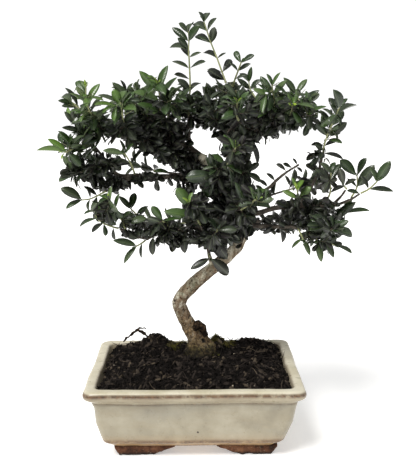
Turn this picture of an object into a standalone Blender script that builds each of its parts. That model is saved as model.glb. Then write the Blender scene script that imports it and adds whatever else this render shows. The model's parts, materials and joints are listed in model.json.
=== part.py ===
"""Wild olive bonsai in a rectangular glazed tray pot.

The pot stands on its four feet at z = 0. X runs along its long side, Y to the
back and Z up. Lengths below are in millimetres, measured from the middle of the
pot, and MM turns them into metres where the meshes are made.
"""
import math
import random
from collections import namedtuple

import bmesh
import bpy
import numpy as np
from mathutils import Matrix, Vector

MM = 0.001
CLEAR = 0.3

# The whole object's middle, seen from the pot's middle: the crown leans to the right
CROWN_MIDDLE_X = 18.0
CROWN_MIDDLE_Y = 6.8

# Pot
RIM_LENGTH = 200.0
RIM_WIDTH = 150.0
POT_HEIGHT = 70.6
RIM_CORNER = 9.0
LIP_OVERHANG = 6.2
LIP_HEIGHT = 9.0
RIM_FACE = 11.0
WALL = 6.5
FLOOR_TOP = 16.5
FLOOR_INSET = 23.0
BODY_BOTTOM = 10.0
CORNER_STEPS = 3

# The wall's outer face between lip and foot bevel: inset from the rim's edge, and height
WALL_FACE = [(7.6, 50.0), (9.2, 37.0), (12.0, 24.0)]
DRAIN_RADIUS = 6.0
DRAIN_SPREAD = 42.0
DRAIN_SIDES = 12

# Corner feet, each an L whose arms run along the pot's sides
FOOT_CORNER_X = 76.0
FOOT_CORNER_Y = 53.8
FOOT_TAPER = 5.5
FOOT_ARM = 14.0
FOOT_SINK = 2.0

# Drainage screens
SCREEN_SIDE = 26.0
SCREEN_THICK = 1.2
SCREEN_CELLS = 3
SCREEN_STRAND = 1.6

# Soil
SOIL_EDGE_DROP = 4.6
SOIL_MOUND = 11.0
SOIL_SHOULDER = 2.6
SOIL_ROUGHNESS = 1.3
SOIL_HOLE_RADIUS = 19.0
SOIL_RINGS = 6
SOIL_POINTS_X = 4
SOIL_POINTS_Y = 3

# Heaps on the soil: place, height and reach. The first is the mossy one at the trunk's right
HEAPS = [(23.0, 20.0, 9.0, 13.0), (-40.0, 48.0, 8.0, 13.0), (60.0, 50.0, 4.5, 22.0)]

# Root stump and trunk. A surface root is a row of points: reach from the middle, rise above
# the stump's top and radius
ROOT_X = 5.0
ROOT_Y = 14.0
STUMP_RADIUS = 18.0
STUMP_BOTTOM = 52.0
ROOT_TOP = 78.5
ROOT_LOBES = 5
ROOT_LOBE = [(2.0, 17.5, 3.0), (7.0, 10.5, 4.4), (11.5, 3.5, 5.2), (12.0, -6.5, 5.0)]
ROOT_SEED = 3
TRUNK_SIDES = 12
THICK_SIDES = 6
THIN_SIDES = 5
THIN_BRANCH = 2.5

# Leaves and young stems
BLADE_THICKNESS = 0.66
LEAF_LENGTH = 19.5
LEAF_WIDTH_SHARE = 0.44
STEM_RADIUS = 0.95
FIRST_PAIR = 6.0
PAIR_SPACING = 7.5
PAIR_HEIGHT = 1.2
SIDE_SHOOT_LENGTH = 36.0
SHOOT_SEED = 11
TRIES = 16
HEADING_REACH = 1.5
PAST_LAST_PAIR = 1.6
SKIN_GAP = CLEAR + 0.05
CARRIER_STEP = 1.0
CARRIER_END_BALLS = 4
LEAF_CLEARANCE = 0.6
OWN_CLEARANCE = 0.1
OWN_BARK_BALLS = 5
TIP_RISE = 0.35
STEM_TAPER = 0.35
GOLDEN_ANGLE = math.radians(137.5)
UP = Vector((0, 0, 1))

# Where a blade's two cross rows lie along it, and its half width and droop there
LEAF_ROWS = [(0.40, 1.0, 0.0), (0.76, 0.80, 0.02)]
LEAF_TIP_DROOP = 0.08
LEAF_SPREAD_LOW = 62.0
LEAF_SPREAD_TIP = 36.0

# The point in front of the tree from which the front shoots are described: how far it stands
# from the pot's middle, its height, how far it looks down and aside, and the length of the
# lens and the middle of its picture in steps of that picture
EYE_DISTANCE = 695.0
EYE_HEIGHT = 329.0
EYE_PITCH = math.radians(10.3)
EYE_YAW = math.radians(1.01)
EYE_LENS = 736.0
EYE_MIDDLE = (208.0, 232.5)

# Tries at a leaf's lean to the back or front, as shares of its length, and at a whole shoot's
LEAF_LEANS = (0.3, -0.3, 0.6, -0.6, 0.0, 0.15, -0.15, 0.9, -0.9, 1.3, -1.3)
SHOOT_LEANS = (0.0, -6.0, 6.0, -12.0, 12.0)

# A branch's thick and thin end radius, the length of the leafy shoot at its tip, how many
# shoots stand along it, and the middle of its route
Branch = namedtuple("Branch", "thick thin tip side_shoots route")

TRUNK_ROUTE = [
    (ROOT_X, ROOT_Y, STUMP_BOTTOM, 14.0),
    (ROOT_X, ROOT_Y, 60, STUMP_RADIUS),
    (ROOT_X, ROOT_Y, ROOT_TOP, STUMP_RADIUS - 0.6),
    (ROOT_X, ROOT_Y, ROOT_TOP + 3, 14.6),
    (4, 14, 86, 11.4),
    (1.5, 13.5, 91, 9.5),
    (-1.5, 13, 96, 8.4),
    (-4, 12, 101, 7.8),
    (-9, 10, 112, 7.2),
    (-13, 8, 121, 7.0),
    (-16, 6, 130, 6.9),
    (-14, 5, 137, 7.0),
    (-7, 3, 146, 6.9),
    (4, 1, 157, 6.7),
    (17, -1, 168, 6.3),
    (28, -2, 177, 6.0),
    (38, -2, 187, 5.8),
    (44, -1, 198, 5.6),
    (43, 1, 210, 5.4),
    (35, 3, 224, 5.2),
    (25, 5, 241, 4.9),
    (15, 6, 257, 4.5),
    (9, 6, 272, 4.0),
]

BRANCHES = {
    "left_leader": Branch(3.6, 1.3, 0, 0, [
        (9, 6, 272), (-5, 6, 283), (-20, 8, 292), (-35, 10, 302), (-46, 12, 312)]),
    "right_leader": Branch(3.6, 1.9, 0, 0, [
        (25, 5, 241), (33, 8, 256), (37, 10, 276), (38, 10, 298), (32, 10, 324)]),
    "apex_left": Branch(1.8, 1.2, 0, 0, [
        (32, 10, 324), (29, 9, 343)]),
    "apex_right": Branch(1.7, 1.1, 0, 0, [
        (32, 10, 324), (31, 6, 334), (35, 3, 340)]),
    "upright": Branch(2.0, 1.2, 0, 0, [
        (-5, 6, 283), (-6, 8, 309), (-6, 6, 328)]),
    "upper_left": Branch(3.0, 1.3, 0, 0, [
        (9, 6, 272), (-18, 0, 278), (-44, -6, 285), (-60, -12, 293), (-79, -18, 300)]),
    "upper_left_top": Branch(1.3, 1.1, 0, 0, [
        (-79, -18, 300), (-89, -20, 306), (-100, -22, 315)]),
    "left_edge": Branch(1.5, 1.1, 0, 0, [
        (-79, -12, 267), (-91, -12, 266), (-103, -8, 262)]),
    "left_mid": Branch(3.2, 1.1, 0, 0, [
        (15, 6, 257), (-5, 4, 253), (-19, 2, 256), (-35, 0, 257), (-54, -4, 258), (-71, -8, 259),
        (-80, -12, 270), (-89, -14, 282), (-97, -16, 293)]),
    "left_mid_low": Branch(1.8, 1.1, 0, 0, [
        (-54, -4, 258), (-71, -4, 251), (-84, 0, 243)]),
    "left_low": Branch(2.8, 1.2, 0, 0, [
        (30, 3, 224), (12, 0, 203), (-1, -4, 208), (-17, -8, 207), (-36, -12, 204), (-48, -14, 200),
        (-60, -16, 205), (-71, -18, 210)]),
    "left_low_shoot": Branch(1.5, 1.1, 0, 0, [
        (-48, -14, 200), (-46, -14, 209), (-50, -12, 216)]),
    "left_hanging": Branch(1.4, 1.1, 0, 0, [
        (-36, -12, 204), (-46, -18, 199)]),
    "pale_side": Branch(2.2, 1.2, 0, 0, [
        (17, -1, 168), (13, -10, 184), (11, -17, 197), (5, -24, 214)]),
    "upper_right": Branch(3.0, 1.2, 0, 0, [
        (37, 10, 276), (52, 6, 296), (68, 0, 306), (82, -5, 311), (95, -8, 314)]),
    "upper_right_top": Branch(1.6, 1.1, 0, 0, [
        (52, 6, 296), (57, 7, 309), (60, 6, 320)]),
    "right_bare": Branch(2.4, 1.1, 0, 0, [
        (28, 5, 235), (52, 0, 238), (68, -4, 245), (77, -7, 254), (85, -9, 261), (97, -12, 269)]),
    "right_shoot": Branch(1.9, 1.1, 0, 0, [
        (98, -12, 229), (107, -14, 245), (113, -16, 260), (117, -18, 276)]),
    "right_low": Branch(3.2, 1.1, 0, 0, [
        (35, 3, 224), (57, 0, 221), (76, -5, 227), (98, -12, 229), (127, -18, 231), (143, -22, 237),
        (152, -24, 243)]),
    "right_low_top": Branch(1.5, 1.1, 0, 0, [
        (127, -18, 231), (134, -24, 240), (138, -27, 247)]),
    "low_right": Branch(2.8, 1.1, 0, 0, [
        (43, 1, 210), (59, -5, 210), (72, -9, 210), (90, -13, 210), (107, -16, 209), (123, -18, 212)]),
    "right_hanging": Branch(1.4, 1.1, 0, 0, [
        (107, -16, 209), (112, -22, 203)]),
    "front_twig": Branch(2.0, 1.1, 0, 0, [
        (22, 5, 246), (17, -22, 254), (16, -34, 259)]),
    "front_shoot": Branch(2.0, 1.1, 0, 0, [
        (32, 4, 229), (34, -25, 228), (41, -42, 231)]),
    "front_top": Branch(2.2, 1.1, 0, 0, [
        (37, 10, 282), (30, -20, 297), (38, -44, 310)]),
    "back_left_top": Branch(2.4, 1.1, 52, 1, [
        (-5, 6, 283), (-19, 26, 291), (-33, 42, 298)]),
    "back_right_top": Branch(2.4, 1.1, 52, 0, [
        (37, 10, 276), (54, 30, 295), (68, 44, 302)]),
    "back_left_low": Branch(2.4, 1.1, 52, 1, [
        (35, 3, 224), (13, 28, 211), (-9, 44, 205)]),
    "back_right_low": Branch(2.6, 1.1, 52, 0, [
        (39, 2, 217), (61, 28, 209), (80, 42, 205)]),
    "back_top": Branch(2.4, 1.1, 52, 0, [
        (25, 5, 241), (33, 29, 257), (36, 44, 274)]),
    "back_left_mid": Branch(2.4, 1.1, 52, 0, [
        (15, 6, 257), (-11, 32, 255), (-36, 48, 257)]),
    "back_right_mid": Branch(2.4, 1.1, 52, 0, [
        (25, 5, 241), (63, 28, 233), (90, 44, 237)]),
}


# A front shoot: the branch that carries it, how deep its tip lies, where it leaves its branch,
# and its pairs. A pair is its place on the stem and its leaves; a leaf is the place of its tip
# and how far it is rolled from facing the eye, in degrees. Places are across and down the
# eye's picture
Spray = namedtuple("Spray", "carrier depth start pairs")

SPRAYS = {
    "left_top": Spray("upper_left_top", -46, (101, 127), [
        (100, 121, [(84, 123, 15), (116, 123, 25)]),
        (95, 116, [(72, 122, 15), (108.5, 108, 10)]),
        (90, 112, [(74, 112.5, 30), (103.5, 94.5, 60)]),
        (87, 103, [(70.5, 92.5, 65), (99.5, 83, 30)]),
        (86, 95, [(76.5, 79, 10), (92.5, 81, 50)]),
        (86, 89, [(81, 80, 30), (88, 79.5, 35)])]),
    "left_top_twig": Spray("upper_left_top", -22, (84, 114), [
        (78, 107, [(61, 105, 35), (66.5, 87.5, 60)]),
        (72, 102.5, [(60.5, 92.5, 30), (58.5, 100.5, 15)])]),
    "left_crest": Spray("left_mid", 6, (88, 138), [
        (82, 132, [(62, 127, 35), (95, 126, 30)]),
        (76, 125, [(64.5, 111.5, 10), (82, 116, 30)])]),
    "left_rim": Spray("left_mid", -36, (93, 145), [
        (80, 146, [(60, 136, 0)]),
        (73, 149, [(59.5, 130.5, 60)]),
        (66, 152, [(48, 138.5, 25), (36, 148.5, 60)])]),
    "left_edge": Spray("left_edge", 12, (84, 172), [
        (84, 171, [(73, 154, 25), (77, 181, 30)]),
        (78, 172, [(63, 156.5, 0), (57, 180, 40)])]),
    "left_under": Spray("left_mid_low", 20, (106, 191), [
        (97, 196, [(84, 186, 35), (94, 214, 35)]),
        (90, 199, [(87, 186, 60), (87, 210, 50)]),
        (82, 200, [(62.5, 187.5, 15), (65.5, 207.5, 45)])]),
    "left_low_end": Spray("left_low", -42, (119, 229), [
        (113, 227, [(113.5, 239.5, 45)]),
        (103, 223, [(106.5, 235.5, 25), (90.5, 231.5, 40)]),
        (97, 218, [(77.5, 224, 60), (108, 210, 40)]),
        (95, 211, [(94, 199, 40), (84, 212, 60)])]),
    "left_hanging": Spray("left_hanging", -36, (146, 240), [
        (142, 243, [(141, 258, 50)]),
        (137, 246, [(113.5, 240, 25), (123.5, 263, 40)])]),
    "left_low_twig": Spray("left_low_shoot", 2, (142, 221), [
        (136, 214, [(148, 206, 30), (122, 216, 40)]),
        (131, 209, [(119, 196, 20), (134.5, 192, 10)])]),
    "left_low_rise": Spray("left_low", -44, (125, 231), [
        (121, 219, [(130, 211, 40), (108, 214, 30)]),
        (115, 209, [(103, 201, 25), (119, 193, 40)]),
        (110, 201, [(111, 186, 35), (101, 192, 30)])]),
    "left_low_inner": Spray("left_low", -34, (170, 228), [
        (163, 221, [(152.5, 207, 5), (182, 217.5, 60)])]),
    "pale_tip": Spray("pale_side", -50, (201, 224), [
        (196, 217, [(164.5, 211, 20), (214, 208, 40)]),
        (192, 210, [(178, 189, 15), (205, 195, 20)]),
        (189, 203, [(183, 193, 30), (192, 192, 30)])]),
    "left_mid_rise": Spray("left_mid", -38, (134, 176), [
        (131, 164, [(141.5, 150.5, 55), (115, 166, 60)]),
        (125, 154, [(103, 150, 25), (120, 139, 50), (133, 143, 50)])]),
    "leader_end": Spray("left_leader", 32, (146, 117), [
        (138, 108, [(111, 107.5, 40), (153, 101, 30)]),
        (131, 100, [(112.5, 82.5, 0), (140, 84, 20)]),
        (126, 92, [(121, 80, 50), (132.5, 83, 50)])]),
    "upper_left_rise": Spray("upper_left", -42, (128, 138), [
        (124, 124, [(111, 111, 15), (133, 116, 20)]),
        (121, 104, [(98.5, 94, 60), (113, 90.5, 25)])]),
    "leader_rise": Spray("left_leader", -24, (160, 129), [
        (160, 112, [(137.5, 103, 25), (178, 103, 30)]),
        (160, 100, [(134, 91, 30), (176, 76, 58)]),
        (159, 92, [(139.5, 71, 5), (167, 64.5, 35)]),
        (158, 85, [(149, 75, 40), (155, 72, 20)])]),
    "upright": Spray("upright", 18, (188, 100), [
        (190, 91, [(180, 79.5, 25), (199, 80, 50)]),
        (190, 79, [(175.5, 72.5, 55)]),
        (189.5, 68, [(172, 60.5, 50), (204, 59.5, 60)]),
        (189, 57, [(182, 45, 30), (201, 52, 45)]),
        (188.5, 49, [(169.5, 43.5, 50), (178.5, 38, 20)]),
        (189, 41, [(172, 27, 15), (197, 25.5, 30)]),
        (188.5, 33, [(181, 23, 50), (190.5, 20, 45)])]),
    "apex": Spray("apex_left", 14, (226, 84), [
        (225, 80, [(209.5, 70, 10)]),
        (222, 72, [(231.5, 58.5, 5), (206.5, 71, 45)]),
        (217, 58, [(203.5, 49, 45), (226, 52.5, 50)]),
        (211, 43, [(195.5, 33, 35), (214, 29, 5)]),
        (207, 31, [(194, 20, 30), (214.5, 16, 50)]),
        (204, 22, [(207.5, 10.5, 25), (199.5, 12, 50)])]),
    "apex_right": Spray("apex_right", -32, (232, 86), [
        (235, 79, [(246, 73.5, 50)]),
        (238, 71, [(229.5, 62, 45), (250, 63, 45)]),
        (241, 63, [(234.5, 50, 0), (253, 54, 40)])]),
    "upper_right_top": Spray("upper_right_top", 24, (259, 108), [
        (256, 99, [(266, 91, 40), (243, 93, 50)]),
        (250, 89, [(237.5, 78.5, 10), (259.5, 79, 35)]),
        (249, 82, [(251.3, 66.8, 15), (240, 72, 40)])]),
    "upper_right_rise": Spray("upper_right", -34, (270, 122), [
        (274, 106, [(286, 96, 30), (261, 99, 35)]),
        (273, 94, [(286.5, 80, 15), (260, 76, 0)]),
        (272, 86, [(280, 72, 50), (267, 73, 40)])]),
    "upper_right_front": Spray("upper_right", -44, (286, 121), [
        (292, 112, [(277, 98, 15), (308, 103, 30)]),
        (292, 106, [(288, 94, 30), (297, 94, 40)])]),
    "upper_right_end": Spray("upper_right", 12, (300, 116), [
        (300, 105, [(318.8, 90, 25), (284.5, 93, 45)]),
        (296, 94, [(284, 77.5, 25), (307, 78.5, 20)])]),
    "upper_right_out": Spray("upper_right", -30, (293, 118), [
        (306, 115, [(326, 105.5, 60), (311.5, 130, 25)])]),
    "right_shoot": Spray("right_shoot", -42, (322, 157), [
        (323, 153, [(343.5, 157.5, 60), (305, 158, 35)]),
        (324, 146, [(336, 139, 40), (311, 143, 40)]),
        (327, 136, [(317, 122, 10), (347.5, 122, 0)]),
        (331, 126, [(320, 109.5, 30), (344, 110, 0)]),
        (336, 115, [(331, 96, 25), (354, 100, 60)]),
        (339, 108, [(347, 97.5, 35), (338, 93, 45)])]),
    "right_low_rise": Spray("right_low", -48, (325, 206), [
        (330, 193, [(315, 184, 30), (343, 184, 45)]),
        (330, 181, [(316, 169, 25), (340, 163, 20)]),
        (331, 174, [(334, 161, 20), (323, 163, 30)])]),
    "right_low_top": Spray("right_low_top", -44, (346, 190), [
        (344, 186, [(340, 169.5, 0), (356, 178, 40)])]),
    "right_low_end": Spray("right_low", -42, (360, 194), [
        (369, 189, [(393.6, 190.5, 45), (361, 175, 40)]),
        (376.5, 182, [(390, 161.5, 0), (372, 167, 35)])]),
    "right_low_side": Spray("right_low", 2, (352, 199), [
        (357, 187, [(374, 165.5, 0), (347, 178, 45)]),
        (357, 176, [(342, 160.5, 15), (364, 158, 40)])]),
    "low_right_end": Spray("low_right", -8, (326, 226), [
        (334, 218, [(355.5, 202, 5), (341, 230, 45)]),
        (345, 213, [(369.6, 209.5, 55), (350, 199, 30)])]),
    "low_right_under": Spray("low_right", -48, (320, 228), [
        (332, 230, [(348, 220.5, 20), (354.5, 233, 30)])]),
    "right_hanging": Spray("right_hanging", -34, (315, 236), [
        (317, 240, [(321.5, 262, 10), (305, 237, 40)])]),
    "right_hanging_out": Spray("low_right", 6, (318, 229), [
        (324, 238, [(334, 257.5, 15), (338.5, 234, 45)]),
        (334, 245, [(352.7, 250.6, 60)])]),
    "right_hanging_in": Spray("low_right", -40, (298, 229), [
        (303, 239, [(310, 255, 20), (291, 248, 45)])]),
    "right_low_front": Spray("right_low", -40, (294, 207), [
        (298, 199, [(310, 187, 15), (282, 190, 25)]),
        (297, 190, [(292, 177, 30), (303, 179, 30)])]),
    "front_low": Spray("front_shoot", -60, (241, 210), [
        (248, 205, [(235.5, 182.5, 20), (272, 203, 35)]),
        (255, 200, [(264, 187, 30), (251, 187, 30)])]),
    "front_mid": Spray("front_twig", -62, (213, 178), [
        (216, 174, [(187, 177.5, 0), (205, 197, 25)]),
        (226, 165, [(212, 154, 40), (244, 171, 40)]),
        (232, 156, [(224, 135.5, 0), (252.5, 141.5, 10)]),
        (235, 149, [(230, 138, 30), (242, 141, 30)])]),
    "front_high": Spray("front_top", -60, (238, 121), [
        (236, 113, [(217, 106, 30), (256, 108, 25)]),
        (237, 104, [(249, 91.5, 10), (226, 95, 45)])]),
    "pale_low": Spray("pale_side", -36, (209, 252), [
        (210, 258, [(190.5, 269, 10), (230, 275, 15)])]),
    "pale_mid": Spray("pale_side", -46, (208, 240), [
        (213, 237, [(226, 257, 0), (196, 246, 40)]),
        (217, 230, [(236, 229, 20), (208, 217, 30)])]),
    "inner_upright": Spray("upright", 36, (189, 122), [
        (196, 118, [(206, 126, 30), (203, 107, 20)]),
        (202, 110, [(212, 116, 40), (198, 98, 30)]),
        (210, 103, [(221, 111, 35), (206, 90, 30)]),
        (219, 99, [(231, 106, 30), (225, 87, 35)])]),
    "inner_leader": Spray("left_leader", -8, (172, 137), [
        (170, 129, [(156, 124, 25), (183, 130, 30)]),
        (168, 120, [(155, 113, 20), (182, 112, 35)]),
        (168, 111, [(155, 101, 30), (181, 99, 25)]),
        (168, 102, [(162, 88, 30), (174, 88, 25)])]),
    "inner_upper_left": Spray("upper_left", 26, (150, 147), [
        (149, 138, [(133, 135, 25), (163, 137, 20)]),
        (147, 128, [(134, 119, 30), (161, 124, 30)]),
        (146, 119, [(133, 110, 20), (159, 110, 25)]),
        (145, 109, [(138, 96, 30), (152, 96, 25)])]),
    "inner_right": Spray("right_leader", -22, (234, 140), [
        (225, 131, [(211, 137, 30), (226, 117, 25)]),
        (218, 122, [(203, 120, 20), (228, 111, 30)]),
        (214, 112, [(201, 107, 30), (221, 99, 25)])]),
    "inner_trunk": Spray("front_shoot", -44, (231, 207), [
        (228, 215, [(213, 209, 25), (245, 219, 20)]),
        (225, 224, [(211, 224, 30), (240, 231, 25)]),
        (222, 233, [(209, 240, 25), (234, 245, 30)])]),
    "inner_fork": Spray("right_leader", -32, (229, 175), [
        (238, 178, [(249, 189, 20), (246, 166, 35)]),
        (246, 173, [(261, 180, 30), (258, 163, 25)])]),
}


def clear_scene():
    for thing in list(bpy.data.objects):
        bpy.data.objects.remove(thing, do_unlink=True)


def make_material(name, colour, roughness, metallic=0.0):
    material = bpy.data.materials.new(name)
    material.use_nodes = True
    shader = material.node_tree.nodes["Principled BSDF"]
    shader.inputs["Base Color"].default_value = (*colour, 1.0)
    shader.inputs["Roughness"].default_value = roughness
    shader.inputs["Metallic"].default_value = metallic
    material.diffuse_color = (*colour, 1.0)
    return material


def add_object(name, vertices, faces, material=None):
    """A mesh object from millimetre points."""
    mesh = bpy.data.meshes.new(name)
    mesh.from_pydata([tuple(c * MM for c in v) for v in vertices], [], faces)
    mesh.validate()
    thing = bpy.data.objects.new(name, mesh)
    bpy.context.scene.collection.objects.link(thing)
    if material:
        mesh.materials.append(material)
    return thing


def loft(rings):
    """Vertices and faces of a closed skin over rings of equal count, first and last capped."""
    count = len(rings[0])
    vertices = [p for ring in rings for p in ring]
    faces = [tuple(reversed(range(count)))]
    for k in range(len(rings) - 1):
        for i in range(count):
            j = (i + 1) % count
            faces.append((k * count + i, k * count + j, (k + 1) * count + j, (k + 1) * count + i))
    last = (len(rings) - 1) * count
    faces.append(tuple(last + i for i in range(count)))
    return vertices, faces


def bake_modifiers(thing):
    """Replace the object's mesh by its evaluated one."""
    graph = bpy.context.evaluated_depsgraph_get()
    mesh = bpy.data.meshes.new_from_object(thing.evaluated_get(graph))
    thing.modifiers.clear()
    thing.data = mesh


def join_all(body, others):
    """One Boolean union of the body with a collection of solids, which are then removed."""
    group = bpy.data.collections.new("repeats")
    for other in others:
        group.objects.link(other)
    union = body.modifiers.new("union", "BOOLEAN")
    union.operation = "UNION"
    union.operand_type = "COLLECTION"
    union.collection = group
    union.solver = "EXACT"
    bake_modifiers(body)
    for other in others:
        bpy.data.objects.remove(other, do_unlink=True)
    bpy.data.collections.remove(group)


def cut_away(body, cutters):
    """Boolean differences, each cutter removed after its cut."""
    for cutter in cutters:
        cutter.hide_render = True
        cutter.display_type = "WIRE"
        cut = body.modifiers.new("cut", "BOOLEAN")
        cut.operation = "DIFFERENCE"
        cut.object = cutter
        cut.solver = "EXACT"
    bake_modifiers(body)
    for cutter in cutters:
        bpy.data.objects.remove(cutter, do_unlink=True)


def smooth(thing, degrees):
    """Smooth shading, kept sharp where faces meet at more than the given angle."""
    thing.data.shade_smooth()
    thing.data.set_sharp_from_angle(angle=math.radians(degrees))


# Pot

def tray_outline(inset, z, corner, points_x=0, points_y=0):
    """A rounded rectangle, inset from the rim's outer edge, with extra points along its sides."""
    half_x = RIM_LENGTH / 2 - inset
    half_y = RIM_WIDTH / 2 - inset
    points = []
    for quarter, (sign_x, sign_y) in enumerate(((1, 1), (-1, 1), (-1, -1), (1, -1))):
        middle_x = sign_x * (half_x - corner)
        middle_y = sign_y * (half_y - corner)
        for step in range(CORNER_STEPS + 1):
            angle = math.pi / 2 * (quarter + step / CORNER_STEPS)
            points.append((middle_x + corner * math.cos(angle), middle_y + corner * math.sin(angle), z))
        x, y, _ = points[-1]
        inner = points_y if quarter % 2 else points_x
        for k in range(1, inner + 1):
            share = k / (inner + 1)
            if quarter % 2:
                points.append((x, y * (1 - 2 * share), z))
            else:
                points.append((x * (1 - 2 * share), y, z))
    return points


def outer_profile():
    """Inset, height and corner radius of the outside, from the underside up to the rim."""
    lip_foot = POT_HEIGHT - LIP_HEIGHT
    return [
        (21.0, BODY_BOTTOM, 6.0),
        (15.6, 16.5, 7.5),
        *((inset, z, 8.0) for inset, z in reversed(WALL_FACE)),
        (LIP_OVERHANG, lip_foot - 4.0, 8.0),
        (LIP_OVERHANG - 2.5, lip_foot - 1.0, 8.0),
        (1.2, lip_foot + 0.6, 8.5),
        (0.0, lip_foot + 3.0, RIM_CORNER),
        (0.3, POT_HEIGHT - 2.2, RIM_CORNER),
        (2.2, POT_HEIGHT - 0.3, RIM_CORNER),
    ]


def inner_profile():
    """Inset, height and corner radius of the inside, from the rim down to the floor."""
    return [
        (RIM_FACE - 1.8, POT_HEIGHT, 7.5),
        (RIM_FACE, POT_HEIGHT - 1.4, 6.5),
        (RIM_FACE + 2.4, POT_HEIGHT - 9.0, 6.0),
        *((inset + WALL, z, 6.0) for inset, z in WALL_FACE),
        (FLOOR_INSET, FLOOR_TOP, 5.0),
    ]


def foot_outline(z, taper, end_x, end_y, sign_x, sign_y):
    """The L shape of one corner foot at a height, its outer corner drawn in by the taper."""
    outer_x = FOOT_CORNER_X - taper
    outer_y = FOOT_CORNER_Y - 0.35 * taper
    thick = FOOT_ARM - 0.8 * taper
    corner = [
        (outer_x, outer_y), (end_x, outer_y), (end_x, outer_y - thick),
        (outer_x - thick, outer_y - thick), (outer_x - thick, end_y), (outer_x, end_y)]
    points = [(sign_x * x, sign_y * y, z) for x, y in corner]
    return points if sign_x * sign_y > 0 else points[::-1]


def make_foot(sign_x, sign_y):
    """A bracket foot: a flat sole, then a slanting flank up into the pot's underside."""
    top = BODY_BOTTOM + FOOT_SINK
    rings = [
        foot_outline(0.0, FOOT_TAPER, 39.0, 28.0, sign_x, sign_y),
        foot_outline(3.0, FOOT_TAPER / 2, 35.0, 25.0, sign_x, sign_y),
        foot_outline(BODY_BOTTOM - 2.0, 0.0, 23.0, 17.0, sign_x, sign_y),
        foot_outline(top, 0.0, 20.0, 15.0, sign_x, sign_y),
    ]
    return add_object("foot", *loft(rings))


def circle(centre, radius, z, sides):
    step = 2 * math.pi / sides
    return [(centre[0] + radius * math.cos(i * step), centre[1] + radius * math.sin(i * step), z)
            for i in range(sides)]


def make_pot(material):
    rings = [tray_outline(inset, z, corner) for inset, z, corner in outer_profile() + inner_profile()]
    pot = add_object("pot", *loft(rings), material)
    join_all(pot, [make_foot(sx, sy) for sx in (1, -1) for sy in (1, -1)])
    cutters = []
    for side in (-1, 1):
        centre = (side * DRAIN_SPREAD, 0.0)
        heights = (BODY_BOTTOM - FOOT_SINK, FLOOR_TOP + FOOT_SINK)
        rings = [circle(centre, DRAIN_RADIUS, z, DRAIN_SIDES) for z in heights]
        cutters.append(add_object("drain", *loft(rings)))
    cut_away(pot, cutters)
    pot.data.materials.clear()
    pot.data.materials.append(material)
    smooth(pot, 35)
    return pot


def make_screen(name, side, material):
    """A square of plastic mesh: a grid of cells with their middles left out."""
    cell = SCREEN_SIDE / SCREEN_CELLS
    low = FLOOR_TOP + CLEAR
    lines = []
    for k in range(SCREEN_CELLS):
        lines += [k * cell - SCREEN_STRAND / 2, k * cell + SCREEN_STRAND / 2]
    lines += [SCREEN_SIDE - SCREEN_STRAND / 2, SCREEN_SIDE + SCREEN_STRAND / 2]
    middle = SCREEN_SIDE / 2
    work = bmesh.new()
    grid = {}
    for i, x in enumerate(lines):
        for j, y in enumerate(lines):
            point = (side * DRAIN_SPREAD + x - middle, y - middle, low)
            grid[i, j] = work.verts.new([c * MM for c in point])
    for i in range(len(lines) - 1):
        for j in range(len(lines) - 1):
            if i % 2 and j % 2:
                continue
            work.faces.new((grid[i, j], grid[i + 1, j], grid[i + 1, j + 1], grid[i, j + 1]))
    solid = bmesh.ops.extrude_face_region(work, geom=work.faces[:])
    top = [g for g in solid["geom"] if isinstance(g, bmesh.types.BMVert)]
    bmesh.ops.translate(work, verts=top, vec=(0, 0, SCREEN_THICK * MM))
    bmesh.ops.recalc_face_normals(work, faces=work.faces[:])
    mesh = bpy.data.meshes.new(name)
    work.to_mesh(mesh)
    work.free()
    screen = bpy.data.objects.new(name, mesh)
    bpy.context.scene.collection.objects.link(screen)
    mesh.materials.append(material)
    return screen


# Soil

def soil_height(x, y, edge_share, rng):
    """Height of the soil, where edge_share is 0 at the trunk and 1 at the pot's wall."""
    mound = SOIL_MOUND * (1.0 - edge_share ** SOIL_SHOULDER)
    bump = sum(height * math.exp(-((x - hx) ** 2 + (y - hy) ** 2) / reach ** 2)
               for hx, hy, height, reach in HEAPS)
    rough = SOIL_ROUGHNESS * rng.uniform(-1.0, 1.0)
    return POT_HEIGHT - SOIL_EDGE_DROP + mound + bump + rough


def make_soil(material):
    rng = random.Random(ROOT_SEED)
    bottom = FLOOR_TOP + CLEAR + SCREEN_THICK + CLEAR
    top = POT_HEIGHT - SOIL_EDGE_DROP
    wall = [(inset + CLEAR + 0.1, z, corner) for inset, z, corner in reversed(inner_profile()[2:-1])]
    wall = [(FLOOR_INSET, bottom, 5.0)] + wall
    wall.append((RIM_FACE + 1.7, top, 6.0))
    rings = [tray_outline(inset, z, corner, SOIL_POINTS_X, SOIL_POINTS_Y) for inset, z, corner in wall]
    edge = rings[-1]
    rim = []
    for x, y, _ in edge:
        reach = math.hypot(x - ROOT_X, y - ROOT_Y)
        share = SOIL_HOLE_RADIUS / reach
        rim.append((ROOT_X + (x - ROOT_X) * share, ROOT_Y + (y - ROOT_Y) * share))
    for k in range(1, SOIL_RINGS + 1):
        share = 1.0 - k / SOIL_RINGS
        ring = []
        for (ex, ey, _), (hx, hy) in zip(edge, rim):
            x = hx + (ex - hx) * share
            y = hy + (ey - hy) * share
            ring.append((x, y, soil_height(x, y, share, rng)))
        rings.append(ring)
    rings.append([(x, y, STUMP_BOTTOM - CLEAR) for x, y in rim])
    soil = add_object("soil", *loft(rings), material)
    return soil


# Wood

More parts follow.
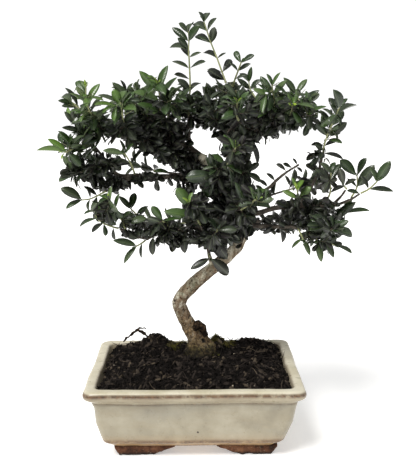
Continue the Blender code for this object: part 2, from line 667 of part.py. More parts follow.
def tube(centres, radii, sides):
    """Rings round a path, each square to it, with no twist between them."""
    path = [Vector(c) for c in centres]
    tangents = []
    for k in range(len(path)):
        ahead = path[min(k + 1, len(path) - 1)]
        behind = path[max(k - 1, 0)]
        tangents.append((ahead - behind).normalized())
    across = tangents[0].orthogonal().normalized()
    rings = []
    for centre, tangent, radius in zip(path, tangents, radii):
        across = (across - tangent * across.dot(tangent)).normalized()
        other = tangent.cross(across)
        ring = []
        for i in range(sides):
            angle = 2 * math.pi * i / sides
            ring.append(tuple(centre + radius * (math.cos(angle) * across + math.sin(angle) * other)))
        rings.append(ring)
    return loft(rings)


def branch_points(branch):
    """Centres and radii along a branch."""
    centres = [Vector(p) for p in branch.route]
    lengths = [0.0]
    for a, b in zip(centres, centres[1:]):
        lengths.append(lengths[-1] + (b - a).length)
    radii = [branch.thick + (branch.thin - branch.thick) * s / lengths[-1] for s in lengths]
    return centres, radii


def make_wood(material):
    centres = [p[:3] for p in TRUNK_ROUTE]
    radii = [p[3] for p in TRUNK_ROUTE]
    wood = add_object("wood", *tube(centres, radii, TRUNK_SIDES), material)
    parts = []
    rng = random.Random(ROOT_SEED)
    for lobe in range(ROOT_LOBES):
        angle = 2 * math.pi * (lobe + rng.uniform(-0.2, 0.2)) / ROOT_LOBES
        out = Vector((math.cos(angle), math.sin(angle), 0.0))
        foot = Vector((ROOT_X, ROOT_Y, ROOT_TOP))
        route = [foot + out * reach + UP * rise for reach, rise, _ in ROOT_LOBE]
        radii = [radius for _, _, radius in ROOT_LOBE]
        parts.append(add_object("root", *tube(route, radii, THICK_SIDES)))
    for name, branch in BRANCHES.items():
        centres, radii = branch_points(branch)
        sides = THICK_SIDES if branch.thick > THIN_BRANCH else THIN_SIDES
        parts.append(add_object(name, *tube(centres, radii, sides)))
    join_all(wood, parts)
    wood.data.materials.clear()
    wood.data.materials.append(material)
    smooth(wood, 60)
    return wood


# Leafy shoots

class Crowd:
    """Balls that stand for what has been placed, to keep new pieces clear of it."""

    def __init__(self):
        self.points = np.zeros((0, 3))
        self.radii = np.zeros(0)

    def add(self, points, radii):
        self.points = np.vstack([self.points, np.array(points)])
        self.radii = np.concatenate([self.radii, np.array(radii)])

    def is_clear(self, points, radii, margin):
        if not len(self.radii):
            return True
        points, radii = np.array(points), np.array(radii)
        reach = radii.max() + self.radii.max() + margin
        low, high = points.min(axis=0) - reach, points.max(axis=0) + reach
        near = np.all((self.points > low) & (self.points < high), axis=1)
        if not near.any():
            return True
        gaps = np.linalg.norm(points[:, None, :] - self.points[near][None, :, :], axis=2)
        gaps -= radii[:, None] + self.radii[near][None, :]
        return bool(gaps.min() > margin)


def balls_along(centres, radii, spacing=1.5):
    points, sizes = [], []
    for k in range(len(centres) - 1):
        a, b = Vector(centres[k]), Vector(centres[k + 1])
        count = max(1, int((b - a).length / spacing))
        for i in range(count + 1):
            t = i / count
            points.append(tuple(a.lerp(b, t)))
            sizes.append(radii[k] + (radii[k + 1] - radii[k]) * t)
    return points, sizes


def leaf_balls(foot, along, normal, length):
    """Balls that cover a blade from just past its foot."""
    side = along.cross(normal)
    half = length * LEAF_WIDTH_SHARE / 2
    points, sizes = [], []
    for t, share in ((0.2, 0.45), (0.36, 0.9), (0.52, 1.0), (0.68, 0.95), (0.84, 0.7), (0.97, 0.25)):
        centre = foot + along * (t * length) - normal * (0.03 * length * t)
        spread = half * share
        for across in (-0.6, 0.0, 0.6):
            points.append(tuple(centre + side * (spread * across)))
            sizes.append(max(0.5, 0.42 * spread) + BLADE_THICKNESS / 2)
    return points, sizes


def stem_route(start, first, last, length, steps=4):
    """Points of a stem that leaves along one direction and bends to another."""
    points = [start]
    for k in range(steps):
        share = (k + 0.5) / steps
        heading = (first * (1 - share) + last * share).normalized()
        points.append(points[-1] + heading * (length / steps))
    return points


def along_path(points, distance):
    """Point and heading on a polyline at a distance from its start."""
    for a, b in zip(points, points[1:]):
        step = (b - a).length
        if distance <= step or b is points[-1]:
            return a + (b - a) * (distance / step), (b - a).normalized()
        distance -= step


def place_leaves(points, crowd, rng):
    """Opposite pairs, each a quarter turn from the last, turned aside where something is near."""
    length = sum((b - a).length for a, b in zip(points, points[1:]))
    across = (points[1] - points[0]).orthogonal().normalized()
    own = Crowd()
    pairs = []
    distance = FIRST_PAIR
    quarter = 0
    while distance < length - PAIR_HEIGHT:
        foot, stem = along_path(points, distance)
        across = (across - stem * across.dot(stem)).normalized()
        share = distance / length
        leaves = []
        for side in (quarter % 2, quarter % 2 + 2):
            size = LEAF_LENGTH * rng.uniform(0.85, 1.18) * (1.0 - 0.25 * share)
            spread = LEAF_SPREAD_LOW + (LEAF_SPREAD_TIP - LEAF_SPREAD_LOW) * share
            spread = math.radians(spread + rng.uniform(-8, 8))
            facing = (side + 0.5) * math.pi / 2 + rng.uniform(-0.15, 0.15)
            for aside in (0.0, 0.35, -0.35, 0.7, -0.7):
                radial = Matrix.Rotation(facing + aside, 3, stem) @ across
                along = (stem * math.cos(spread) + radial * math.sin(spread)).normalized()
                normal = (stem * math.sin(spread) - radial * math.cos(spread)).normalized()
                balls = leaf_balls(foot, along, normal, size)
                if crowd.is_clear(*balls, LEAF_CLEARANCE) and own.is_clear(*balls, OWN_CLEARANCE):
                    leaves.append((along, normal, size))
                    own.add(*balls)
                    break
        pairs.append((distance, leaves))
        quarter += 1
        distance += PAIR_SPACING * rng.uniform(0.9, 1.1)
    return pairs, own


def add_leaf(vertices, faces, base, foot, along, normal, size):
    """Grow a blade out of four base vertices of the stem: two rows across it, then its tip."""
    across_base = (Vector(vertices[base[1]]) - Vector(vertices[base[0]])).normalized()
    up_base = (Vector(vertices[base[3]]) - Vector(vertices[base[0]])).normalized()
    side = normal.cross(along)
    turned = -1.0 if side.dot(across_base) + normal.dot(up_base) < 0 else 1.0
    side = side * turned
    half = size * LEAF_WIDTH_SHARE / 2
    thick = normal * (turned * BLADE_THICKNESS / 2)
    loop = list(base)
    for share, width, droop in LEAF_ROWS:
        centre = foot + along * (share * size) - normal * (droop * size)
        across = side * (half * width)
        start = len(vertices)
        for point in (centre - across - thick, centre + across - thick,
                      centre + across + thick, centre - across + thick):
            vertices.append(tuple(point))
        row = [start, start + 1, start + 2, start + 3]
        for j in range(4):
            k = (j + 1) % 4
            faces.append((loop[j], loop[k], row[k], row[j]))
        loop = row
    tip = foot + along * size - normal * (LEAF_TIP_DROOP * size)
    under = len(vertices)
    vertices += [tuple(tip - thick), tuple(tip + thick)]
    upper = under + 1
    faces += [(loop[0], loop[1], under), (loop[1], loop[2], upper, under),
              (loop[2], loop[3], upper), (loop[3], loop[0], under, upper)]


def stem_heading(points, distance):
    """The way a stem runs, taken over a short stretch so that it turns gently at a bend."""
    length = sum((b - a).length for a, b in zip(points, points[1:]))
    behind, _ = along_path(points, max(0.0, distance - HEADING_REACH))
    ahead, _ = along_path(points, min(length, distance + HEADING_REACH))
    return (ahead - behind).normalized()


def sides_for(leaves, stem, across):
    """Which of a stem's four sides each leaf of a pair grows from: the one that it points to."""
    taken = {}
    for leaf in leaves:
        turns = []
        for side in range(4):
            radial = Matrix.Rotation((side + 0.5) * math.pi / 2, 3, stem) @ across
            turns.append((leaf[0].dot(radial), side))
        side = max(turn for turn in turns if turn[1] not in taken)[1]
        taken[side] = leaf
    return taken


def build_shoot(name, points, pairs, material):
    """A four-sided stem with its leaves grown from short bands round it, all one skin."""
    length = sum((b - a).length for a, b in zip(points, points[1:]))
    stations = [(0.0, None)]
    for distance, leaves in pairs:
        stations += [(distance - PAIR_HEIGHT / 2, None), (distance + PAIR_HEIGHT / 2, leaves)]
    stations.append((length, None))
    vertices, faces = [], [(3, 2, 1, 0)]
    across = (points[1] - points[0]).orthogonal().normalized()
    for k, (distance, leaves) in enumerate(stations):
        centre, _ = along_path(points, distance)
        stem = stem_heading(points, distance)
        across = (across - stem * across.dot(stem)).normalized()
        radius = STEM_RADIUS * (1.0 - STEM_TAPER * distance / length)
        sides = sides_for(leaves, stem, across) if leaves else {}
        row = len(vertices)
        for i in range(4):
            radial = Matrix.Rotation(i * math.pi / 2, 3, stem) @ across
            vertices.append(tuple(centre + radial * radius))
        if k == 0:
            before = row
            continue
        for i in range(4):
            j = (i + 1) % 4
            base = (before + i, before + j, row + j, row + i)
            if i in sides:
                foot, _ = along_path(points, distance - PAIR_HEIGHT / 2)
                add_leaf(vertices, faces, base, foot, *sides[i])
            else:
                faces.append(base)
        before = row
    faces.append((before, before + 1, before + 2, before + 3))
    shoot = add_object(name, vertices, faces, material)
    smooth(shoot, 50)
    return shoot


def shoot_start(branch, share):
    """Point, direction and radius on a branch at a share of its length."""
    centres, radii = branch_points(branch)
    lengths = [0.0]
    for a, b in zip(centres, centres[1:]):
        lengths.append(lengths[-1] + (b - a).length)
    target = share * lengths[-1]
    k = max(i for i in range(len(centres) - 1) if lengths[i] <= target)
    t = (target - lengths[k]) / (lengths[k + 1] - lengths[k])
    heading = (centres[k + 1] - centres[k]).normalized()
    return centres[k].lerp(centres[k + 1], t), heading, radii[k] + (radii[k + 1] - radii[k]) * t


def seen(across, down, depth):
    """The point at a depth behind the pot's middle that the eye sees at a place in its picture."""
    x = (across - EYE_MIDDLE[0]) / EYE_LENS
    z = (EYE_MIDDLE[1] - down) / EYE_LENS
    ahead = math.cos(EYE_PITCH) + z * math.sin(EYE_PITCH)
    rise = z * math.cos(EYE_PITCH) - math.sin(EYE_PITCH)
    side = x * math.cos(EYE_YAW) + ahead * math.sin(EYE_YAW)
    ahead = ahead * math.cos(EYE_YAW) - x * math.sin(EYE_YAW)
    reach = (depth + EYE_DISTANCE) / ahead
    return Vector((side * reach, depth, EYE_HEIGHT + rise * reach))


def picture(point):
    """Where the eye sees a point: across and down its picture."""
    x, y, z = point[0], point[1] + EYE_DISTANCE, point[2] - EYE_HEIGHT
    side = x * math.cos(EYE_YAW) - y * math.sin(EYE_YAW)
    ahead = x * math.sin(EYE_YAW) + y * math.cos(EYE_YAW)
    depth = ahead * math.cos(EYE_PITCH) - z * math.sin(EYE_PITCH)
    rise = z * math.cos(EYE_PITCH) + ahead * math.sin(EYE_PITCH)
    return EYE_MIDDLE[0] + EYE_LENS * side / depth, EYE_MIDDLE[1] - EYE_LENS * rise / depth


def spray_points(spray, lean):
    """A front shoot's stem: from its branch's skin through its pairs, a little past the last."""
    centres, radii = branch_points(BRANCHES[spray.carrier])
    centres, radii = balls_along(centres, radii, CARRIER_STEP)
    places = [picture(centre) for centre in centres]
    gaps = [math.dist(place, spray.start) for place in places]
    k = gaps.index(min(gaps))
    centre = Vector(centres[k])
    ahead = Vector(centres[min(k + 1, len(centres) - 1)])
    heading = (ahead - Vector(centres[max(k - 2, 0)])).normalized()
    count = len(spray.pairs)
    depths = [centre.y + (spray.depth + lean - centre.y) * (i + 1) / count for i in range(count)]
    nodes = [seen(pair[0], pair[1], depth) for pair, depth in zip(spray.pairs, depths)]
    first = (nodes[0] - centre).normalized()
    if k >= len(centres) - CARRIER_END_BALLS:
        end = Vector(centres[-1])
        turn = math.sqrt(max(0.0, 1.0 - first.dot(heading) ** 2))
        start = end + heading * (CLEAR + STEM_RADIUS * turn)
    else:
        out = (first - heading * first.dot(heading)).normalized()
        tilt = math.sqrt(max(0.0, 1.0 - first.dot(out) ** 2))
        start = centre + out * (radii[k] + SKIN_GAP + STEM_RADIUS * tilt)
    last = (nodes[-1] - (nodes[-2] if count > 1 else start)).normalized()
    return [start, *nodes, nodes[-1] + last * PAST_LAST_PAIR]


def seen_leaf(foot, leaf, lean):
    """A leaf whose tip is seen at its place: the way it points, its upper side and its length."""
    flat = seen(leaf[0], leaf[1], foot.y)
    tip = seen(leaf[0], leaf[1], foot.y + lean * (flat - foot).length)
    along = (tip - foot).normalized()
    to_eye = (Vector((0.0, -EYE_DISTANCE, EYE_HEIGHT)) - foot).normalized()
    facing = (to_eye - along * to_eye.dot(along)).normalized()
    other = along.cross(facing)
    if other.z < 0:
        other = -other
    roll = math.radians(leaf[2])
    return along, facing * math.cos(roll) + other * math.sin(roll), (tip - foot).length


def place_seen_leaves(spray, points, around):
    """A front shoot's leaves, each leaning back or forward where something is near, what they
    and the stem fill, and how many found no room."""
    own = Crowd()
    balls, sizes = balls_along(points, [STEM_RADIUS] * len(points))
    own.add(balls, sizes)
    pairs, missing = [], 0
    distance = 0.0
    sign = 1.0
    for k, pair in enumerate(spray.pairs):
        distance += (points[k + 1] - points[k]).length
        leaves = []
        foot, _ = along_path(points, distance - PAIR_HEIGHT / 2)
        for leaf in pair[2]:
            sign = -sign
            for lean in LEAF_LEANS:
                along, normal, size = seen_leaf(foot, leaf, lean * sign)
                balls, sizes = leaf_balls(foot, along, normal, size)
                if not around.is_clear(balls, sizes, LEAF_CLEARANCE):
                    continue
                if own.is_clear(balls, sizes, OWN_CLEARANCE):
                    leaves.append((along, normal, size))
                    own.add(balls, sizes)
                    break
            else:
                missing += 1
        pairs.append((distance, leaves))
    return pairs, own, missing


def wood_balls(carrier):
    """Balls of the trunk and of every branch but the carrier, and the carrier's own."""
    others, own = Crowd(), Crowd()
    others.add(*balls_along([p[:3] for p in TRUNK_ROUTE], [p[3] for p in TRUNK_ROUTE]))
    for name, branch in BRANCHES.items():
        crowd = own if name == carrier else others
        crowd.add(*balls_along(*branch_points(branch)))
    return others, own


def stem_is_clear(carrier, points, leafy):
    """Whether a stem keeps off all leaves and wood, but for its first stretch on its carrier."""
    others, own = wood_balls(carrier)
    balls, sizes = balls_along(points, [STEM_RADIUS] * len(points))
    free = OWN_BARK_BALLS
    return (others.is_clear(balls, sizes, CLEAR) and own.is_clear(balls[free:], sizes[free:], CLEAR)
            and leafy.is_clear(balls, sizes, LEAF_CLEARANCE))


def fit_spray(spray, around, leafy):
    """Lean a front shoot until its stem is clear and as many of its leaves as can be find room."""
    best = None
    for lean in SHOOT_LEANS:
        points = spray_points(spray, lean)
        if not stem_is_clear(spray.carrier, points, leafy):
            continue
        pairs, own, missing = place_seen_leaves(spray, points, around)
        if best is None or missing < best[0]:
            best = (missing, points, pairs, own)
        if not missing:
            break
    return best


def make_shoots(material):
    rng = random.Random(SHOOT_SEED)
    wood, _ = wood_balls("")
    leafy = Crowd()
    shoots = []

    def try_shoot(name, carrier, points):
        if not stem_is_clear(carrier, points, leafy):
            return False
        balls, sizes = balls_along(points, [STEM_RADIUS] * len(points))
        around = Crowd()
        around.add(wood.points, wood.radii)
        around.add(leafy.points, leafy.radii)
        pairs, own = place_leaves(points, around, rng)
        shoots.append(build_shoot(name, points, pairs, material))
        leafy.add(balls, sizes)
        leafy.add(own.points, own.radii)
        return True

    for name, spray in SPRAYS.items():
        around = Crowd()
        around.add(wood.points, wood.radii)
        around.add(leafy.points, leafy.radii)
        fitted = fit_spray(spray, around, leafy)
        if fitted is None:
            print("no room for", name)
            continue
        missing, points, pairs, own = fitted
        if missing:
            print(name, "leaves left out", missing)
        shoots.append(build_shoot(f"shoot_{name}", points, pairs, material))
        leafy.add(own.points, own.radii)

    for name, branch in BRANCHES.items():
        if not branch.tip:
            continue
        centres, _ = branch_points(branch)
        heading = (centres[-1] - centres[-2]).normalized()
        last = (heading + UP * TIP_RISE).normalized()
        points = stem_route(centres[-1] + heading * CLEAR, heading, last, branch.tip)
        if not try_shoot(f"shoot_{name}_tip", name, points):
            print("no tip shoot on", name)
    turn = 0.0
    for name, branch in BRANCHES.items():
        for k in range(branch.side_shoots):
            share = 0.45 + 0.45 * (k + 0.5) / branch.side_shoots
            centre, heading, radius = shoot_start(branch, share)
            across = heading.orthogonal().normalized()
            length = SIDE_SHOOT_LENGTH * rng.uniform(0.8, 1.1)
            for _ in range(TRIES):
                turn += GOLDEN_ANGLE
                out = Matrix.Rotation(turn, 3, heading) @ across
                start = centre + out * (radius + SKIN_GAP)
                last = (out + heading * 0.8 + UP * 0.5).normalized()
                if try_shoot(f"shoot_{name}_{k + 1}", name, stem_route(start, out, last, length)):
                    break
            else:
                print("no side shoot", k + 1, "on", name)
    return shoots


def stand_over_origin(things):
    """Hang everything on an empty and move that, so that the whole stands over the origin."""
    base = bpy.data.objects.new("bonsai", None)
    bpy.context.scene.collection.objects.link(base)
    for thing in things:
        thing.parent = base
    base.location = (-CROWN_MIDDLE_X * MM, -CROWN_MIDDLE_Y * MM, 0.0)


def main():
    clear_scene()
    glaze = make_material("cream_glaze", (0.62, 0.57, 0.44), 0.35)
    plastic = make_material("screen_plastic", (0.03, 0.03, 0.03), 0.6)
    earth = make_material("dark_soil", (0.03, 0.022, 0.017), 0.95)
    bark = make_material("pale_bark", (0.45, 0.40, 0.32), 0.8)
    leaf = make_material("olive_leaf", (0.04, 0.09, 0.03), 0.45)
    things = [make_pot(glaze), make_soil(earth)]
    things.append(make_screen("drain_screen_left", -1, plastic))
    things.append(make_screen("drain_screen_right", 1, plastic))
    things.append(make_wood(bark))
    things += make_shoots(leaf)
    stand_over_origin(things)
    print("objects", len(things), "triangles", sum(
        len(p.vertices) - 2 for thing in things for p in thing.data.polygons))


main()
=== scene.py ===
"""Looks of a wild olive bonsai in a cream glazed tray pot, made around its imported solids.

Lengths are in millimetres from the middle of the pot, as in the part's own source, and
place() turns such a point into the frame's metres.
"""

import json
import math
import random
from collections import namedtuple

import bpy
import numpy as np
from mathutils import Matrix, Vector, noise

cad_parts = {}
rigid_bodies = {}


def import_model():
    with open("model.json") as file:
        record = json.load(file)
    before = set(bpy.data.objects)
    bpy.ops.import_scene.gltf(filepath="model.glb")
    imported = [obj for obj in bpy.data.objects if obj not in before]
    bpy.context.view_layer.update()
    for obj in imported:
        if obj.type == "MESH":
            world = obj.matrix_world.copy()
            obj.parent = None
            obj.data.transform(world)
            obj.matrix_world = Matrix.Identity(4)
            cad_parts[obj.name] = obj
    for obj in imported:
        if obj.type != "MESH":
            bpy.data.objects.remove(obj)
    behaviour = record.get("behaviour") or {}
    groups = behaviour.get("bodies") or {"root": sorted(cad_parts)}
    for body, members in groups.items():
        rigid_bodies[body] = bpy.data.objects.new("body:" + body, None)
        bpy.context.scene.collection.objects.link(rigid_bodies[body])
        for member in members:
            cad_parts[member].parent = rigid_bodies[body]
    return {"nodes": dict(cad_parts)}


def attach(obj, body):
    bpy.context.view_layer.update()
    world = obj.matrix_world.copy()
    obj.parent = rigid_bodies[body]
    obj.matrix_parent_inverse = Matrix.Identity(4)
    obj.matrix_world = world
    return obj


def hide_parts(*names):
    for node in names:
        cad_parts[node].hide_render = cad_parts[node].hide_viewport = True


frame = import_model()

# Blender starts its vector noise from the clock unless it is told a seed
NOISE_SEED = 1
noise.seed_set(NOISE_SEED)

bl_info = {
    "name": "Wild olive bonsai",
    "version": (1, 0, 0),
    "blender": (4, 5, 0),
    "location": "View3D > Sidebar > Bonsai",
    "description": "Glazed pot, soil, bark and leaves of a wild olive bonsai",
    "category": "Object",
}

MM = 0.001
CROWN_MIDDLE = Vector((18.0, 6.8, 0.0))
UP = Vector((0, 0, 1))
SHOOT_NODES = sorted(name for name in frame["nodes"] if name.startswith("shoot_"))


def place(point):
    """A point in millimetres from the pot's middle, in the frame's metres."""
    return (Vector(point) - CROWN_MIDDLE) * MM


# The eye, as the photograph was taken: millimetres, degrees and pixels

EYE_DISTANCE = 695.0
EYE_HEIGHT = 329.0
EYE_PITCH = math.radians(10.3)
EYE_YAW = math.radians(1.01)
LENS = 57.0
EYE_LENS = 736.0
EYE_MIDDLE = (208.0, 232.5)


def seen(across, down, depth):
    """The point at a depth behind the pot's middle that the eye sees at a place in its picture."""
    x = (across - EYE_MIDDLE[0]) / EYE_LENS
    z = (EYE_MIDDLE[1] - down) / EYE_LENS
    ahead = math.cos(EYE_PITCH) + z * math.sin(EYE_PITCH)
    rise = z * math.cos(EYE_PITCH) - math.sin(EYE_PITCH)
    side = x * math.cos(EYE_YAW) + ahead * math.sin(EYE_YAW)
    ahead = ahead * math.cos(EYE_YAW) - x * math.sin(EYE_YAW)
    reach = (depth + EYE_DISTANCE) / ahead
    return Vector((side * reach, depth, EYE_HEIGHT + rise * reach))


def picture(point):
    """Where the eye sees a point: across and down its picture."""
    x, y, z = point[0], point[1] + EYE_DISTANCE, point[2] - EYE_HEIGHT
    side = x * math.cos(EYE_YAW) - y * math.sin(EYE_YAW)
    ahead = x * math.sin(EYE_YAW) + y * math.cos(EYE_YAW)
    depth = ahead * math.cos(EYE_PITCH) - z * math.sin(EYE_PITCH)
    rise = z * math.cos(EYE_PITCH) + ahead * math.sin(EYE_PITCH)
    return EYE_MIDDLE[0] + EYE_LENS * side / depth, EYE_MIDDLE[1] - EYE_LENS * rise / depth


# The pot's and the soil's sizes

RIM_LENGTH = 200.0
RIM_WIDTH = 150.0
POT_HEIGHT = 70.6
RIM_FACE = 11.0
FLOOR_TOP = 16.5
BODY_BOTTOM = 10.0
DRAIN_RADIUS = 6.0
DRAIN_SPREAD = 42.0
DRAIN_SIDES = 32
SOIL_EDGE_DROP = 4.6
SOIL_MOUND = 11.0
SOIL_SHOULDER = 2.6
SOIL_HOLE_RADIUS = 15.0
HEAPS = [(21.0, 21.0, 15.0, 10.0), (-42.0, 48.0, 12.0, 13.0), (60.0, 52.0, 5.5, 22.0),
         (-20.0, 26.0, 4.0, 10.0)]

# The tree, branch by branch, as its solids were made

ROOT_X = 5.0
ROOT_Y = 14.0
STUMP_RADIUS = 18.0
STUMP_BOTTOM = 52.0
ROOT_TOP = 78.5
ROOT_LOBES = 5
ROOT_LOBE = [(2.0, 17.5, 3.0), (7.0, 10.5, 4.4), (11.5, 3.5, 5.2), (12.0, -6.5, 5.0)]
ROOT_SEED = 3
BLADE_THICKNESS = 0.66
LEAF_LENGTH = 19.5
LEAF_WIDTH_SHARE = 0.44
STEM_RADIUS = 0.95
FIRST_PAIR = 6.0
PAIR_SPACING = 7.5
PAIR_HEIGHT = 1.2
SIDE_SHOOT_LENGTH = 36.0
SHOOT_SEED = 11
TRIES = 16
LEAF_CLEARANCE = 0.6
OWN_CLEARANCE = 0.1
OWN_BARK_BALLS = 5
TIP_RISE = 0.35
CLEAR = 0.3
SKIN_GAP = CLEAR + 0.05
PAST_LAST_PAIR = 1.6
CARRIER_STEP = 1.0
CARRIER_END_BALLS = 4
GOLDEN_ANGLE = math.radians(137.5)
LEAF_SPREAD_LOW = 62.0
LEAF_SPREAD_TIP = 36.0
LEAF_LEANS = (0.3, -0.3, 0.6, -0.6, 0.0, 0.15, -0.15, 0.9, -0.9, 1.3, -1.3)
SHOOT_LEANS = (0.0, -6.0, 6.0, -12.0, 12.0)

Branch = namedtuple("Branch", "thick thin tip side_shoots route")

TRUNK_ROUTE = [
    (ROOT_X, ROOT_Y, STUMP_BOTTOM, 14.0),
    (ROOT_X, ROOT_Y, 60, STUMP_RADIUS),
    (ROOT_X, ROOT_Y, ROOT_TOP, STUMP_RADIUS - 0.6),
    (ROOT_X, ROOT_Y, ROOT_TOP + 3, 14.6),
    (4, 14, 86, 11.4),
    (1.5, 13.5, 91, 9.5),
    (-1.5, 13, 96, 8.4),
    (-4, 12, 101, 7.8),
    (-9, 10, 112, 7.2),
    (-13, 8, 121, 7.0),
    (-16, 6, 130, 6.9),
    (-14, 5, 137, 7.0),
    (-7, 3, 146, 6.9),
    (4, 1, 157, 6.7),
    (17, -1, 168, 6.3),
    (28, -2, 177, 6.0),
    (38, -2, 187, 5.8),
    (44, -1, 198, 5.6),
    (43, 1, 210, 5.4),
    (35, 3, 224, 5.2),
    (25, 5, 241, 4.9),
    (15, 6, 257, 4.5),
    (9, 6, 272, 4.0),
]

BRANCHES = {
    "left_leader": Branch(3.6, 1.3, 0, 0, [
        (9, 6, 272), (-5, 6, 283), (-20, 8, 292), (-35, 10, 302), (-46, 12, 312)]),
    "right_leader": Branch(3.6, 1.9, 0, 0, [
        (25, 5, 241), (33, 8, 256), (37, 10, 276), (38, 10, 298), (32, 10, 324)]),
    "apex_left": Branch(1.8, 1.2, 0, 0, [
        (32, 10, 324), (29, 9, 343)]),
    "apex_right": Branch(1.7, 1.1, 0, 0, [
        (32, 10, 324), (31, 6, 334), (35, 3, 340)]),
    "upright": Branch(2.0, 1.2, 0, 0, [
        (-5, 6, 283), (-6, 8, 309), (-6, 6, 328)]),
    "upper_left": Branch(3.0, 1.3, 0, 0, [
        (9, 6, 272), (-18, 0, 278), (-44, -6, 285), (-60, -12, 293), (-79, -18, 300)]),
    "upper_left_top": Branch(1.3, 1.1, 0, 0, [
        (-79, -18, 300), (-89, -20, 306), (-100, -22, 315)]),
    "left_edge": Branch(1.5, 1.1, 0, 0, [
        (-79, -12, 267), (-91, -12, 266), (-103, -8, 262)]),
    "left_mid": Branch(3.2, 1.1, 0, 0, [
        (15, 6, 257), (-5, 4, 253), (-19, 2, 256), (-35, 0, 257), (-54, -4, 258), (-71, -8, 259),
        (-80, -12, 270), (-89, -14, 282), (-97, -16, 293)]),
    "left_mid_low": Branch(1.8, 1.1, 0, 0, [
        (-54, -4, 258), (-71, -4, 251), (-84, 0, 243)]),
    "left_low": Branch(2.8, 1.2, 0, 0, [
        (30, 3, 224), (12, 0, 203), (-1, -4, 208), (-17, -8, 207), (-36, -12, 204), (-48, -14, 200),
        (-60, -16, 205), (-71, -18, 210)]),
    "left_low_shoot": Branch(1.5, 1.1, 0, 0, [
        (-48, -14, 200), (-46, -14, 209), (-50, -12, 216)]),
    "left_hanging": Branch(1.4, 1.1, 0, 0, [
        (-36, -12, 204), (-46, -18, 199)]),
    "pale_side": Branch(2.2, 1.2, 0, 0, [
        (17, -1, 168), (13, -10, 184), (11, -17, 197), (5, -24, 214)]),
    "upper_right": Branch(3.0, 1.2, 0, 0, [
        (37, 10, 276), (52, 6, 296), (68, 0, 306), (82, -5, 311), (95, -8, 314)]),
    "upper_right_top": Branch(1.6, 1.1, 0, 0, [
        (52, 6, 296), (57, 7, 309), (60, 6, 320)]),
    "right_bare": Branch(2.4, 1.1, 0, 0, [
        (28, 5, 235), (52, 0, 238), (68, -4, 245), (77, -7, 254), (85, -9, 261), (97, -12, 269)]),
    "right_shoot": Branch(1.9, 1.1, 0, 0, [
        (98, -12, 229), (107, -14, 245), (113, -16, 260), (117, -18, 276)]),
    "right_low": Branch(3.2, 1.1, 0, 0, [
        (35, 3, 224), (57, 0, 221), (76, -5, 227), (98, -12, 229), (127, -18, 231), (143, -22, 237),
        (152, -24, 243)]),
    "right_low_top": Branch(1.5, 1.1, 0, 0, [
        (127, -18, 231), (134, -24, 240), (138, -27, 247)]),
    "low_right": Branch(2.8, 1.1, 0, 0, [
        (43, 1, 210), (59, -5, 210), (72, -9, 210), (90, -13, 210), (107, -16, 209),
        (123, -18, 212)]),
    "right_hanging": Branch(1.4, 1.1, 0, 0, [
        (107, -16, 209), (112, -22, 203)]),
    "front_twig": Branch(2.0, 1.1, 0, 0, [
        (22, 5, 246), (17, -22, 254), (16, -34, 259)]),
    "front_shoot": Branch(2.0, 1.1, 0, 0, [
        (32, 4, 229), (34, -25, 228), (41, -42, 231)]),
    "front_top": Branch(2.2, 1.1, 0, 0, [
        (37, 10, 282), (30, -20, 297), (38, -44, 310)]),
    "back_left_top": Branch(2.4, 1.1, 52, 1, [
        (-5, 6, 283), (-19, 26, 291), (-33, 42, 298)]),
    "back_right_top": Branch(2.4, 1.1, 52, 0, [
        (37, 10, 276), (54, 30, 295), (68, 44, 302)]),
    "back_left_low": Branch(2.4, 1.1, 52, 1, [
        (35, 3, 224), (13, 28, 211), (-9, 44, 205)]),
    "back_right_low": Branch(2.6, 1.1, 52, 0, [
        (39, 2, 217), (61, 28, 209), (80, 42, 205)]),
    "back_top": Branch(2.4, 1.1, 52, 0, [
        (25, 5, 241), (33, 29, 257), (36, 44, 274)]),
    "back_left_mid": Branch(2.4, 1.1, 52, 0, [
        (15, 6, 257), (-11, 32, 255), (-36, 48, 257)]),
    "back_right_mid": Branch(2.4, 1.1, 52, 0, [
        (25, 5, 241), (63, 28, 233), (90, 44, 237)]),
}


# A front shoot: the branch that carries it, how deep its tip lies, where it leaves its branch,
# and its pairs. A pair is its place on the stem and its leaves; a leaf is the place of its tip
# and how far it is rolled from facing the eye, in degrees. Places are across and down the
# eye's picture
Spray = namedtuple("Spray", "carrier depth start pairs")

